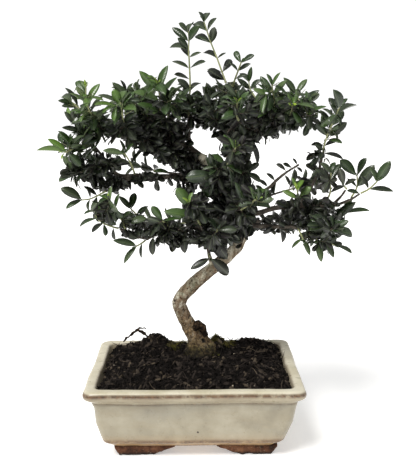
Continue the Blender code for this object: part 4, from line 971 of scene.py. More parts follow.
# Leaves that the photograph shows right on the wood: tip and foot in the picture, how far they
# lean away from the eye as a share of how long they look, roll in degrees and tint
WOOD_LEAVES = [
    ((157, 192), (157, 180), 0.2, 25, 0.10), ((144, 187), (134, 180), -0.2, 30, 0.10),
    ((124, 189), (125, 180), 0.3, 20, 0.08), ((116, 190), (113, 178), -0.3, 35, 0.12),
    ((96, 190), (93, 178), 0.2, 20, 0.10), ((130, 190), (131, 180), -0.2, 40, 0.08),
    ((258.5, 179), (268, 187), 0.2, 40, 0.12), ((267, 173), (275, 180), -0.2, 42, 0.15),
    ((277, 162.5), (287, 173), 0.3, 40, 0.12), ((284, 163), (292, 167), -0.3, 35, 0.15),
    ((293, 158), (297, 165), 0.2, 40, 0.20), ((271, 194), (277, 180), 0.3, 40, 0.10),
    ((290, 184), (285, 175), -0.3, 40, 0.10), ((303, 172), (296, 167), 0.3, 40, 0.10),
    ((259.5, 163.5), (256, 143), -0.2, 62, 0.08),
    ((267, 232), (280, 230), 0.2, 40, 0.10), ((260, 213), (266, 224), -0.2, 30, 0.12),
    ((246, 243), (236, 230), 0.3, 20, 0.10), ((347.5, 190), (360, 194), -0.2, 40, 0.25),
    ((153.5, 169.5), (172, 168), 0.2, 50, 0.45), ((152, 255), (158, 243), -0.2, 20, 0.14),
    ((174, 253), (172, 242), 0.3, 25, 0.10), ((184, 253), (186, 243), -0.3, 20, 0.10),
    ((227, 257), (216, 240), -0.5, 15, 0.08), ((238, 252), (233, 238), -0.4, 20, 0.06),
    ((248, 240), (241, 230), -0.5, 20, 0.06), ((233, 238), (240, 226), -0.6, 25, 0.10),
    ((252, 228), (244, 220), -0.4, 25, 0.08), ((236, 229), (243, 215), -0.6, 20, 0.06),
    ((247, 216), (240, 207), -0.5, 25, 0.08), ((230, 213), (238, 200), -0.5, 20, 0.10),
    ((214, 200), (224, 193), -0.4, 25, 0.06), ((208, 192), (219, 186), -0.4, 20, 0.08),
]


def plan_wood_leaves():
    """Leaves that grow straight from a branch, each with its foot in the bark."""
    rng = random.Random(WOOD_LEAF_SEED)
    centres, radii = [], []
    for route in (*map(branch_points, BRANCHES.values()), trunk_points()):
        points, sizes = balls_along(*route, CARRIER_STEP)
        centres += points
        radii += sizes
    places = [picture(centre) for centre in centres]
    seats = []
    for tip, foot, lean, roll, tint in WOOD_LEAVES:
        gaps = [math.dist(place, foot) for place in places]
        k = gaps.index(min(gaps))
        centre, sunk = Vector(centres[k]), radii[k] * 0.5
        along, normal, size = seen_leaf(centre, (*tip, roll), lean)
        seats.append(Seat(centre + along * sunk, along, normal, size - sunk, tint,
                          rng.randrange(2)))
    return seats


# Blades: widths along the leaf, how far its halves fold up, how far it droops

Blade = namedtuple("Blade", "shape fold droop")
BLADE_WIDTH_SHARE = 0.385
SMALL_WIDTH_SHARE = 0.52
ROWS = [0.0, 0.07, 0.18, 0.32, 0.48, 0.64, 0.80, 0.93, 1.0]
BLADES = {
    "oval": Blade([0.07, 0.10, 0.50, 0.84, 1.02, 1.04, 0.86, 0.48, 0.03], 24, 0.05),
    "spoon": Blade([0.06, 0.08, 0.34, 0.68, 0.96, 1.12, 1.06, 0.68, 0.05], 20, 0.08),
    "lance": Blade([0.06, 0.10, 0.44, 0.70, 0.82, 0.80, 0.62, 0.30, 0.02], 30, 0.03),
    "cupped": Blade([0.07, 0.10, 0.44, 0.78, 1.02, 1.10, 0.98, 0.58, 0.04], 36, 0.12),
}
SMALL_ROWS = [0.0, 0.12, 0.40, 0.72, 0.92, 1.0]
SMALL_BLADES = {
    "oval": Blade([0.08, 0.24, 0.96, 0.98, 0.62, 0.12], 10, 0.04),
    "spoon": Blade([0.08, 0.18, 0.80, 1.08, 0.76, 0.16], 8, 0.07),
    "cupped": Blade([0.08, 0.22, 0.92, 1.02, 0.66, 0.12], 20, 0.09),
}


# Helpers for meshes and node trees

def add_piece(name, mesh, material=None):
    """A mesh as an object in the scene, in its material."""
    thing = bpy.data.objects.new(name, mesh)
    bpy.context.scene.collection.objects.link(thing)
    if material:
        mesh.materials.append(material)
    return thing


def mesh_of(name, vertices, faces, edges=()):
    """A mesh made of vertices and faces."""
    mesh = bpy.data.meshes.new(name)
    mesh.from_pydata([tuple(v) for v in vertices], list(edges), faces)
    return mesh


def give(mesh, name, kind, values, domain="POINT"):
    """Store one number, vector or rotation for each point or face."""
    layer = mesh.attributes.new(name, kind, domain)
    field = {"FLOAT": "value", "INT": "value", "FLOAT_VECTOR": "vector",
             "QUATERNION": "value"}[kind]
    layer.data.foreach_set(field, np.array(values, dtype=float if kind != "INT" else int).ravel())


def loft(rings):
    """Vertices and faces of a closed skin over rings of equal count, first and last capped."""
    count = len(rings[0])
    vertices = [p for ring in rings for p in ring]
    faces = [tuple(reversed(range(count)))]
    for k in range(len(rings) - 1):
        for i in range(count):
            j = (i + 1) % count
            faces.append((k * count + i, k * count + j, (k + 1) * count + j, (k + 1) * count + i))
    last = (len(rings) - 1) * count
    faces.append(tuple(last + i for i in range(count)))
    return vertices, faces


def bake(thing):
    """The object's evaluated mesh takes the place of its own, and its modifiers go."""
    graph = bpy.context.evaluated_depsgraph_get()
    mesh = bpy.data.meshes.new_from_object(thing.evaluated_get(graph))
    thing.modifiers.clear()
    thing.data = mesh
    return thing


def soften(thing, voxel, rounds):
    """One skin over all that touches, in voxels of a size in millimetres, its edges smoothed."""
    skin = thing.modifiers.new("voxels", "REMESH")
    skin.mode = "VOXEL"
    skin.voxel_size = voxel * MM
    thing.modifiers.new("soft", "SMOOTH").iterations = rounds
    return bake(thing)


def connect(tree, value, socket):
    """Link a value to a socket, where a node stands for its first output, or set it there."""
    if isinstance(value, bpy.types.Node):
        value = next(s for s in value.outputs if s.enabled)
    if isinstance(value, bpy.types.NodeSocket):
        tree.links.new(value, socket)
    else:
        socket.default_value = value


def add_node(tree, kind, settings=None, **sockets):
    """A node with its settings, whose inputs are values or other nodes."""
    node = tree.nodes.new(kind)
    for key, value in (settings or {}).items():
        setattr(node, key, value)
    for key, value in sockets.items():
        label = key.replace("_", " ")
        connect(tree, value, next(s for s in node.inputs if s.enabled and s.name == label))
    return node


def add_math(tree, operation, first, second=0.0):
    """A math node on two values or nodes."""
    node = add_node(tree, "ShaderNodeMath", {"operation": operation})
    connect(tree, first, node.inputs[0])
    connect(tree, second, node.inputs[1])
    return node.outputs[0]


def carried(tree, kind, name):
    """A value that the points carry under a name."""
    return add_node(tree, "GeometryNodeInputNamedAttribute", {"data_type": kind}, Name=name)


def shapes_of(tree, given):
    """The shapes of a collection, apart, each at its own origin."""
    return add_node(tree, "GeometryNodeCollectionInfo", Collection=given["Shapes"],
                    Separate_Children=True, Reset_Children=True)


def start_tree(name, *inputs):
    """A geometry node tree with named inputs: label, type and default. Gives it and its inputs."""
    tree = bpy.data.node_groups.new(name, "GeometryNodeTree")
    tree.interface.new_socket("Geometry", in_out="INPUT", socket_type="NodeSocketGeometry")
    for label, kind, default in inputs:
        socket = tree.interface.new_socket(label, in_out="INPUT", socket_type="NodeSocket" + kind)
        if default is not None:
            socket.default_value = default
    tree.interface.new_socket("Finish", in_out="INPUT", socket_type="NodeSocketMaterial")
    tree.interface.new_socket("Geometry", in_out="OUTPUT", socket_type="NodeSocketGeometry")
    return tree, tree.nodes.new("NodeGroupInput").outputs


def end_tree(tree, given, shape):
    """Make all copies real, give them their material and send them out."""
    real = add_node(tree, "GeometryNodeRealizeInstances", Geometry=shape)
    done = add_node(tree, "GeometryNodeSetMaterial", Geometry=real, Material=given["Finish"])
    add_node(tree, "NodeGroupOutput", Geometry=done)
    return tree


def run_tree(thing, tree, **values):
    """Set the tree's inputs by their identifiers on the object, then keep the result as a mesh."""
    modifier = thing.modifiers.new(tree.name, "NODES")
    modifier.node_group = tree
    for item in tree.interface.items_tree:
        key = item.name.replace(" ", "_")
        if item.item_type == "SOCKET" and item.in_out == "INPUT" and key in values:
            modifier[item.identifier] = values[key]
    return bake(thing)


def finish_piece(thing, slot, *nodes):
    """Attach a piece to the root body and hide the nodes that it stands for. Its slot is not used.
    """
    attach(thing, "root")
    if nodes:
        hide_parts(*nodes)


# Geometry node trees

def tube_tree():
    """Tubes along the mesh's edges, as thick as each point's girth."""
    tree, given = start_tree("Tubes along edges", ("Sides", "Int", 6), ("Thickness", "Float", 1.0))
    path = add_node(tree, "GeometryNodeMeshToCurve", Mesh=given["Geometry"])
    ring = add_node(tree, "GeometryNodeCurvePrimitiveCircle", Resolution=given["Sides"], Radius=1.0)
    thick = add_math(tree, "MULTIPLY", carried(tree, "FLOAT", "girth"), given["Thickness"])
    tube = add_node(tree, "GeometryNodeCurveToMesh", Curve=path, Profile_Curve=ring, Scale=thick,
                    Fill_Caps=True)
    return end_tree(tree, given, tube)


def seat_tree():
    """A shape on each point, turned, stretched and picked by the point's values."""
    tree, given = start_tree(
        "Leaves on seats", ("Shapes", "Collection", None), ("Size", "Float", 1.0))
    scale = add_node(tree, "ShaderNodeVectorMath", {"operation": "SCALE"},
                     Vector=carried(tree, "FLOAT_VECTOR", "stretch"), Scale=given["Size"])
    put = add_node(
        tree, "GeometryNodeInstanceOnPoints", Points=given["Geometry"],
        Instance=shapes_of(tree, given), Pick_Instance=True,
        Instance_Index=carried(tree, "INT", "kind"), Rotation=carried(tree, "QUATERNION", "turn"),
        Scale=scale)
    return end_tree(tree, given, put)


def scatter_tree():
    """Shapes strewn over a surface where its share is high, each turned and sized at random."""
    tree, given = start_tree(
        "Strewn over a surface", ("Shapes", "Collection", None), ("Density", "Float", 1000.0),
        ("Smallest", "Float", 0.6), ("Largest", "Float", 1.4), ("Tilt", "Float", 0.6),
        ("Sink", "Float", 0.0), ("Seed", "Int", 1))
    seed, tilt = given["Seed"], given["Tilt"]
    density = add_math(tree, "MULTIPLY", carried(tree, "FLOAT", "share"), given["Density"])
    strewn = add_node(
        tree, "GeometryNodeDistributePointsOnFaces", {"distribute_method": "RANDOM"},
        Mesh=given["Geometry"], Density=density, Seed=seed)
    back = add_math(tree, "MULTIPLY", tilt, -1.0)
    angles = add_node(
        tree, "FunctionNodeRandomValue", {"data_type": "FLOAT_VECTOR"}, Seed=seed,
        Min=add_node(tree, "ShaderNodeCombineXYZ", X=back, Y=back, Z=0.0),
        Max=add_node(tree, "ShaderNodeCombineXYZ", X=tilt, Y=tilt, Z=2 * math.pi))
    turn = add_node(
        tree, "FunctionNodeRotateRotation", {"rotation_space": "LOCAL"},
        Rotation=strewn.outputs["Rotation"],
        Rotate_By=add_node(tree, "FunctionNodeEulerToRotation", Euler=angles))
    size = add_node(tree, "FunctionNodeRandomValue", {"data_type": "FLOAT"},
                    Min=given["Smallest"], Max=given["Largest"], Seed=seed)
    put = add_node(
        tree, "GeometryNodeInstanceOnPoints", Points=strewn, Instance=shapes_of(tree, given),
        Pick_Instance=True, Rotation=turn, Scale=size)
    moved = add_node(
        tree, "GeometryNodeTranslateInstances", Instances=put, Local_Space=False,
        Translation=add_node(tree, "ShaderNodeCombineXYZ", X=0.0, Y=0.0, Z=given["Sink"]))
    tint = add_node(
        tree, "FunctionNodeRandomValue", {"data_type": "FLOAT"}, Min=0.0, Max=1.0, Seed=seed)
    named = add_node(
        tree, "GeometryNodeStoreNamedAttribute", {"data_type": "FLOAT", "domain": "INSTANCE"},
        Geometry=moved, Name="tint", Value=tint)
    return end_tree(tree, given, named)


# Materials

def paint(red, green, blue):
    """A screen colour of 0 to 255 as the linear one that shaders take."""
    linear = [c / 255 / 12.92 if c / 255 <= 0.04045 else ((c / 255 + 0.055) / 1.055) ** 2.4
              for c in (red, green, blue)]
    return (*linear, 1.0)


class Finish:
    """A material in the making. Its colours are screen colours of 0 to 255."""

    def __init__(self, name, roughness, specular=0.5):
        self.material = bpy.data.materials.new(name)
        self.material.use_nodes = True
        self.tree = self.material.node_tree
        self.shader = self.tree.nodes["Principled BSDF"]
        self.shader.inputs["Roughness"].default_value = roughness
        self.shader.inputs["Specular IOR Level"].default_value = specular
        self.place = self.tree.nodes.new("ShaderNodeTexCoord").outputs["Object"]

    def noise(self, scale, detail=4.0, roughness=0.6, distortion=0.0, stretch=None):
        """Cloudy grey, drawn out by the stretch."""
        where = self.place
        if stretch:
            where = add_node(self.tree, "ShaderNodeMapping", Vector=where, Scale=stretch)
        node = add_node(
            self.tree, "ShaderNodeTexNoise", Vector=where, Scale=scale, Detail=detail,
            Roughness=roughness, Distortion=distortion)
        return node.outputs["Fac"]

    def spots(self, scale, radius, share, seed=0.0):
        """Round dots in some of a pattern's cells: 1 inside a dot, 0 outside."""
        shifted = add_node(self.tree, "ShaderNodeMapping", Vector=self.place, Location=(seed,) * 3)
        cells = add_node(self.tree, "ShaderNodeTexVoronoi", Vector=shifted, Scale=scale)
        split = add_node(self.tree, "ShaderNodeSeparateColor", Color=cells.outputs["Color"])
        return self.times(self.math("LESS_THAN", cells.outputs["Distance"], radius),
                          self.math("LESS_THAN", split.outputs["Red"], share))

    def math(self, operation, first, second=0.0):
        return add_math(self.tree, operation, first, second)

    def times(self, first, second):
        return self.math("MULTIPLY", first, second)

    def ramp(self, value, *stops):
        """Colours or greys at positions along a value."""
        node = add_node(self.tree, "ShaderNodeValToRGB", Fac=value)
        marks = node.color_ramp.elements
        while len(marks) < len(stops):
            marks.new(0.5)
        for mark, (position, tone) in zip(marks, stops):
            mark.position = position
            mark.color = paint(*tone) if isinstance(tone, tuple) else (tone, tone, tone, 1.0)
        return node.outputs["Color"]

    def mix(self, share, first, second):
        """The second colour over the first, as strong as the share."""
        node = add_node(self.tree, "ShaderNodeMix", {"data_type": "RGBA"})
        for socket, value in zip([s for s in node.inputs if s.enabled], (share, first, second)):
            connect(self.tree, paint(*value) if isinstance(value, tuple) else value, socket)
        return next(s for s in node.outputs if s.enabled)

    def attribute(self, name):
        """A number that the mesh carries under a name."""
        node = add_node(self.tree, "ShaderNodeAttribute", {"attribute_name": name})
        return node.outputs["Fac"]

    def height(self, low, high):
        """How far up a point is between two heights in millimetres, from 0 to 1."""
        split = add_node(self.tree, "ShaderNodeSeparateXYZ", Vector=self.place)
        node = add_node(self.tree, "ShaderNodeMapRange", Value=split.outputs["Z"],
                        From_Min=low * MM, From_Max=high * MM)
        return node.outputs["Result"]

    def colour(self, value):
        self.tree.links.new(value, self.shader.inputs["Base Color"])

    def roughness(self, value):
        self.tree.links.new(value, self.shader.inputs["Roughness"])

    def bump(self, value, distance, strength=1.0):
        """Relief as deep as a distance in millimetres. Gives the finished material."""
        node = add_node(self.tree, "ShaderNodeBump", Height=value, Distance=distance * MM,
                        Strength=strength)
        self.tree.links.new(node.outputs["Normal"], self.shader.inputs["Normal"])
        return self.material


def glaze_finish():
    """Cream glaze: cloudy, with brown breaks where it is thin, specks and dark pinholes, and a
    painted highlight on the rim's top.
    """
    f = Finish("cream_glaze", 0.3)
    clouds = f.noise(34, 4, 0.6)
    base = f.ramp(clouds, (0.30, (134, 126, 108)), (0.5, (152, 144, 124)), (0.70, (168, 161, 142)))
    streaks = f.noise(60, 4, 0.6, 0.4, (0.5, 0.5, 2.6))
    base = f.mix(f.ramp(streaks, (0.48, 0.0), (0.72, 0.45)), base, (148, 136, 112))
    cool = f.noise(22, 3, 0.5, 0.0, (0.6, 0.6, 1.8))
    base = f.mix(f.ramp(cool, (0.5, 0.0), (0.7, 0.35)), base, (146, 145, 136))
    low = f.ramp(f.height(8, 27), (0.0, 1.0), (0.5, 0.75), (0.66, 0.3), (1.0, 0.0))
    base = f.mix(f.times(low, 0.85), base, (160, 126, 80))
    lip = f.times(f.ramp(f.height(56, 62), (0.0, 0.0), (1.0, 1.0)),
                 f.ramp(f.height(66, 69.6), (0.0, 0.55), (1.0, 0.0)))
    base = f.mix(lip, base, f.ramp(streaks, (0.4, (178, 166, 140)), (0.6, (150, 136, 112))))
    # painted highlight: the rim's flat top is painted paler, as light from above falls on it
    top = f.ramp(f.height(68.2, 69.6), (0.0, 0.0), (1.0, 0.7))
    base = f.mix(top, base, f.ramp(clouds, (0.35, (204, 196, 168)), (0.6, (226, 220, 198))))
    fine = f.noise(420, 3, 0.7)
    ragged = f.noise(90, 5, 0.7)
    worn = f.times(f.attribute("wear"), f.ramp(ragged, (0.36, 0.25), (0.50, 1.0)))
    base = f.mix(worn, base, f.ramp(fine, (0.35, (58, 38, 26)), (0.65, (112, 82, 56))))
    specks = f.ramp(fine, (0.27, 1.0), (0.33, 0.0))
    base = f.mix(f.times(specks, 0.5), base, (112, 92, 66))
    holes = f.spots(55, 0.055, 0.20)
    small = f.spots(120, 0.07, 0.10, 3.7)
    dots = f.math("MAXIMUM", holes, small)
    base = f.mix(dots, base, (48, 36, 26))
    f.colour(base)
    f.roughness(f.ramp(f.noise(140, 3), (0.3, 0.24), (0.7, 0.40)))
    relief = f.math("SUBTRACT", f.noise(45, 4), f.times(dots, 1.5))
    return f.bump(relief, 0.5, 0.35)


def clay_finish():
    """Unglazed fired clay, brown and gritty, darker underneath."""
    f = Finish("fired_clay", 0.85, 0.2)
    patches = f.noise(90, 5, 0.7)
    base = f.ramp(patches, (0.36, (46, 29, 22)), (0.5, (84, 52, 36)), (0.66, (116, 80, 56)))
    base = f.mix(f.ramp(f.height(0, 4.6), (0.0, 1.0), (0.4, 0.85), (1.0, 0.0)), base, (24, 18, 15))
    grit = f.noise(600, 2, 0.6)
    base = f.mix(f.ramp(grit, (0.62, 0.0), (0.72, 0.5)), base, (170, 150, 124))
    f.colour(base)
    return f.bump(f.math("ADD", grit, patches), 0.5, 0.7)


def bark_finish():
    """Pale grey bark, specked brown below, dark at the root, grey-brown on thin wood, with painted
    shade: brown streaks on the side turned from the key light and a near black knot hole.
    """
    f = Finish("pale_bark", 0.85, 0.2)
    grain = f.noise(150, 7, 0.75, 0.8, (1.0, 1.0, 0.4))
    pale = f.ramp(grain, (0.36, (78, 66, 50)), (0.46, (146, 137, 117)), (0.58, (214, 208, 188)))
    mossy = f.ramp(f.noise(40, 4), (0.46, 0.0), (0.62, 0.7))
    pale = f.mix(mossy, pale, f.mix(0.6, pale, (128, 136, 112)))
    thin = f.ramp(grain, (0.3, (48, 45, 43)), (0.5, (80, 75, 69)), (0.72, (128, 122, 110)))
    base = f.mix(f.attribute("thin"), pale, thin)
    pits = f.noise(330, 4, 0.8, 0.8)
    lower = f.ramp(f.height(96, 205), (0.0, 1.0), (0.45, 0.85), (1.0, 0.1))
    brown = f.times(f.ramp(f.noise(120, 5, 0.75), (0.44, 0.0), (0.54, 0.85)), lower)
    base = f.mix(brown, base, (116, 90, 66))
    specks = f.times(f.ramp(pits, (0.41, 1.0), (0.45, 0.0)), lower)
    base = f.mix(specks, base, (62, 44, 32))
    dots = f.times(f.spots(230, 0.30, 0.22), lower)
    base = f.mix(dots, base, (40, 30, 24))
    streaks = f.noise(230, 5, 0.75, 0.7, (1.0, 1.0, 0.25))
    # painted shade: brown streaks darken the side turned from the key light, less so high up
    lee = f.times(f.attribute("lee"), f.ramp(f.height(170, 215), (0.0, 1.0), (1.0, 0.3)))
    painted_shade_streaks = f.times(lee, f.ramp(streaks, (0.42, 0.1), (0.52, 0.95)))
    base = f.mix(painted_shade_streaks, base, f.ramp(pits, (0.42, (40, 29, 21)), (0.58, (120, 94, 70))))
    rough = f.times(f.ramp(f.height(80, 132), (0.0, 1.0), (0.5, 0.8), (1.0, 0.0)),
                   f.ramp(f.noise(140, 5, 0.75), (0.38, 0.3), (0.52, 1.0)))
    base = f.mix(rough, base, f.ramp(pits, (0.38, (46, 35, 24)), (0.5, (106, 86, 60)),
                                     (0.62, (160, 136, 100))))
    foot = f.times(f.ramp(f.height(74, 96), (0.0, 1.0), (0.5, 0.9), (1.0, 0.0)),
                  f.ramp(f.noise(90, 5, 0.7), (0.36, 0.5), (0.48, 1.0)))
    base = f.mix(foot, base, f.ramp(pits, (0.42, (14, 12, 9)), (0.5, (40, 36, 21)),
                                    (0.64, (92, 84, 46))))
    base = f.mix(f.ramp(f.height(70, 87), (0.0, 1.0), (0.45, 0.85), (1.0, 0.0)), base, (17, 14, 11))
    # painted shade: the inside of the knot hole is painted near black
    base = f.mix(f.attribute("hole"), base, (14, 11, 9))
    f.colour(base)
    relief = f.math("ADD", f.times(pits, 0.8), grain)
    return f.bump(relief, 1.2, 1.0)


def dead_finish():
    """Dead wood: nearly black, with paler grain where it is broken."""
    f = Finish("dead_wood", 0.95, 0.1)
    tone = f.noise(320, 4, 0.7)
    f.colour(f.ramp(tone, (0.36, (14, 11, 9)), (0.52, (36, 28, 22)), (0.68, (84, 66, 48))))
    return f.bump(tone, 1.0, 1.0)


def stem_finish():
    """Young stems: green-grey and smooth, older ones brown."""
    f = Finish("young_stem", 0.6, 0.4)
    young = f.ramp(f.noise(160, 3), (0.3, (116, 124, 80)), (0.7, (168, 170, 126)))
    old = f.ramp(f.noise(200, 4), (0.3, (44, 38, 34)), (0.7, (92, 80, 66)))
    f.colour(f.mix(f.ramp(f.attribute("tint"), (0.10, 0.0), (0.40, 1.0)), old, young))
    return f.bump(f.noise(500, 3), 0.15, 0.6)


def leaf_finish(name, specular, rough):
    """Leaves from near black, painted shade deep in the crown, to young yellow-green, with a faint
    midrib, a paler underside and a painted grey sheen on some.
    """
    f = Finish(name, rough, specular)
    tint = f.attribute("tint")
    blotch = f.noise(110, 3, 0.6)
    # painted shade: low tints, given to leaves deep in the crown, are near black
    upper = f.ramp(
        tint, (0.0, (19, 17, 18)), (0.12, (21, 23, 18)), (0.30, (39, 55, 31)),
        (0.50, (66, 93, 43)), (0.75, (112, 150, 50)), (1.0, (170, 198, 72)))
    upper = f.mix(f.ramp(blotch, (0.42, 0.0), (0.66, 0.4)), upper,
                  f.mix(0.35, upper, (96, 112, 92)))
    under = f.ramp(tint, (0.0, (36, 33, 33)), (0.3, (62, 70, 54)), (0.6, (96, 112, 76)),
                   (1.0, (160, 176, 96)))
    base = f.mix(f.attribute("under"), upper, under)
    # painted sheen: a random share of the leaves is painted paler grey, as if catching the key
    # light
    grey = f.ramp(tint, (0.0, (72, 66, 67)), (0.25, (94, 104, 82)), (0.6, (128, 150, 92)))
    base = f.mix(f.ramp(f.attribute("bloom"), (0.45, 0.0), (1.0, 0.40)), base, grey)
    uv = f.tree.nodes.new("ShaderNodeUVMap")
    uv.uv_map = "blade"
    split = add_node(f.tree, "ShaderNodeSeparateXYZ", Vector=uv.outputs["UV"])
    middle = f.math("ABSOLUTE", f.math("SUBTRACT", split.outputs["X"], 0.5))
    rib = f.ramp(middle, (0.015, 0.55), (0.05, 0.0))
    base = f.mix(rib, base, f.mix(0.35, base, (130, 146, 96)))
    f.colour(base)
    veins = f.math("SINE", f.times(f.math("ADD", split.outputs["Y"], middle), 60.0))
    f.roughness(f.ramp(blotch, (0.3, rough - 0.06), (0.7, rough + 0.12)))
    return f.bump(f.math("ADD", f.times(veins, 0.2), f.times(rib, -1.0)), 0.2, 0.5)


def soil_finish(name, light=0.0):
    """Near-black peat and bark, each crumb with its own tone."""
    f = Finish(name, 0.95, 0.12)
    grain = f.noise(240, 5, 0.7)
    base = f.ramp(grain, (0.32, (5, 4, 4)), (0.5, (14, 12, 10)), (0.72, (40, 34, 29)))
    if light:
        tone = f.ramp(f.attribute("tint"), (0.0, (7, 6, 5)), (0.5, (16, 13, 11)),
                      (0.80, (30, 26, 24)), (0.94, (60, 53, 48)), (1.0, (98, 87, 73)))
        base = f.mix(light, base, tone)
    f.colour(base)
    return f.bump(grain, 0.8, 0.9)


def grain_finish():
    """Pale mineral grains."""
    f = Finish("pale_grain", 0.8, 0.3)
    f.colour(f.ramp(f.noise(300, 3), (0.3, (170, 152, 124)), (0.7, (214, 206, 190))))
    return f.bump(f.noise(700, 3), 0.2, 0.8)


def moss_finish():
    """Dry olive moss, brown in places."""
    f = Finish("moss", 0.9, 0.2)
    tone = f.ramp(f.attribute("tint"), (0.0, (26, 26, 16)), (0.5, (66, 66, 32)),
                  (1.0, (128, 124, 62)))
    f.colour(f.mix(f.ramp(f.noise(90, 3), (0.35, 0.0), (0.65, 0.6)), tone, (74, 62, 36)))
    return f.bump(f.noise(900, 2), 0.2, 0.6)


def plastic_finish():
    """Black moulded mesh of the drainage screens."""
    f = Finish("screen_plastic", 0.6, 0.4)
    f.colour(f.ramp(f.noise(300, 2), (0.3, (22, 22, 22)), (0.7, (34, 34, 34))))
    return f.bump(f.noise(800, 2), 0.05, 0.5)


def floor_finish():
    """Nearly white floor, which lights its own shadows a little."""
    f = Finish("pale_floor", 0.9, 0.1)
    f.colour(f.ramp(f.noise(3, 3), (0.3, (248, 248, 247)), (0.7, (251, 251, 250))))
    f.shader.inputs["Emission Color"].default_value = (1.0, 1.0, 1.0, 1.0)
    f.shader.inputs["Emission Strength"].default_value = 0.38
    return f.material


# Pot

def tray_outline(inset, z, corner, corner_steps, side_step):
    """A rounded rectangle, inset from the rim's outer edge, with points all along its sides."""
    half_x = RIM_LENGTH / 2 - inset
    half_y = RIM_WIDTH / 2 - inset
    counts = {0: round(RIM_LENGTH / side_step), 1: round(RIM_WIDTH / side_step)}
    points = []
    for quarter, (sign_x, sign_y) in enumerate(((1, 1), (-1, 1), (-1, -1), (1, -1))):
        middle_x = sign_x * (half_x - corner)
        middle_y = sign_y * (half_y - corner)
        for step in range(corner_steps + 1):
            angle = math.pi / 2 * (quarter + step / corner_steps)
            points.append((middle_x + corner * math.cos(angle), middle_y + corner * math.sin(angle),
                           z))
        x, y, _ = points[-1]
        inner = counts[quarter % 2]
        for k in range(1, inner):
            share = k / inner
            if quarter % 2:
                points.append((x, y * (1 - 2 * share), z))
            else:
                points.append((x * (1 - 2 * share), y, z))
    return points


# Inset, height, corner radius and how worn the glaze is there, round the wall's section
POT_SECTION = [
    (23.5, 10.0, 5.0, 0.3), (21.8, 10.0, 5.6, 0.9), (21.0, 10.3, 6.0, 1.0), (20.4, 11.0, 6.2, 0.7),
    (17.8, 13.2, 6.8, 0.1), (15.0, 15.2, 7.3, 0.1), (13.7, 16.4, 7.5, 0.9), (13.1, 17.3, 7.6, 0.8),
    (12.7, 18.6, 7.7, 0.7), (12.1, 21.2, 7.9, 0.0), (11.5, 24.0, 8.0, 0.0), (10.9, 27.5, 8.0, 0.0),
    (10.3, 31.0, 8.0, 0.0), (9.4, 36.0, 8.0, 0.0), (8.7, 41.0, 8.0, 0.0), (8.1, 46.0, 8.0, 0.0),
    (7.5, 51.0, 8.0, 0.0), (7.0, 54.5, 8.0, 0.0), (6.7, 56.6, 8.0, 0.25), (6.9, 57.4, 8.0, 0.5),
    (6.3, 58.2, 8.0, 0.1), (5.2, 59.4, 8.1, 0.0), (3.4, 60.8, 8.3, 0.0), (1.7, 61.9, 8.6, 0.1),
    (0.7, 63.0, 8.8, 0.1), (0.1, 64.4, 9.0, 0.1), (0.0, 65.6, 9.0, 0.5), (0.05, 66.9, 9.0, 1.0),
    (0.5, 68.3, 9.0, 0.7), (1.2, 69.5, 9.0, 0.15), (2.2, 70.3, 8.8, 0.0), (3.6, 70.6, 8.5, 0.0),
    (6.0, 70.6, 8.2, 0.0), (8.2, 70.6, 7.8, 0.0), (9.4, 70.4, 7.4, 0.15), (10.3, 69.8, 7.0, 0.45),
    (10.9, 68.8, 6.6, 0.3), (11.3, 67.2, 6.4, 0.0), (12.2, 64.4, 6.2, 0.0), (13.4, 61.6, 6.0, 0.0),
    (14.1, 50.0, 6.0, 0.0), (15.7, 37.0, 6.0, 0.0), (18.5, 24.0, 6.0, 0.0), (23.0, 16.5, 5.0, 0.0),
]


def wobble(point, size, reach, seed=0.0):
    """A small handmade shift of a point, smooth over the given reach."""
    where = Vector(point) / reach + Vector((seed, seed * 2, seed * 3))
    return noise.noise_vector(where) * size


# The handmade body: its low part is drawn in and leans to the left, its rim spreads
LOW_TAPER = 0.045
LOW_REACH = 26.0
BODY_LEAN = 2.6
LEAN_REACH = 60.0
RIM_START = 52.0
RIM_RISE = 6.0
RIM_SPREAD = 0.013
RIM_LEAN = 0.9
POT_CORNER_STEPS = 8
POT_SIDE_STEP = 6.0
GLAZE_CREASE = math.radians(50)
CUT_PAST = 5


def lean_body(x, z):
    """Where a point of the body lies along X, once its low part and its rim are moved."""
    low = max(0.0, 1.0 - (z - BODY_BOTTOM) / LOW_REACH)
    rim = min(1.0, max(0.0, (z - RIM_START) / RIM_RISE))
    lean = BODY_LEAN * max(0.0, 1.0 - z / LEAN_REACH)
    return x * (1.0 - LOW_TAPER * low + RIM_SPREAD * rim) - lean - RIM_LEAN * rim


def bend_body(point, unevenness):
    """A point of the true pot where the handmade one has it, in the frame's metres."""
    shift = wobble(point, unevenness, 45.0, 1.3) + wobble(point, unevenness * 0.25, 9.0, 7.1)
    x, y, z = Vector(point) + shift
    return place((lean_body(x, z), y, max(z, BODY_BOTTOM - 0.4)))


def cut_drains(pot):
    """Cut the two drainage holes through the floor."""
    cutters = []
    turns = [2 * math.pi * i / DRAIN_SIDES for i in range(DRAIN_SIDES)]
    for side in (-1, 1):
        ring = [(side * DRAIN_SPREAD + DRAIN_RADIUS * math.cos(a), DRAIN_RADIUS * math.sin(a))
                for a in turns]
        tall = [[place((x, y, z)) for x, y in ring]
                for z in (BODY_BOTTOM - CUT_PAST, FLOOR_TOP + CUT_PAST)]
        cutter = add_piece("drain", mesh_of("drain", *loft(tall)))
        cut = pot.modifiers.new("drain", "BOOLEAN")
        cut.operation = "DIFFERENCE"
        cut.object = cutter
        cut.solver = "EXACT"
        cutters.append(cutter)
    bake(pot)
    for cutter in cutters:
        bpy.data.objects.remove(cutter, do_unlink=True)


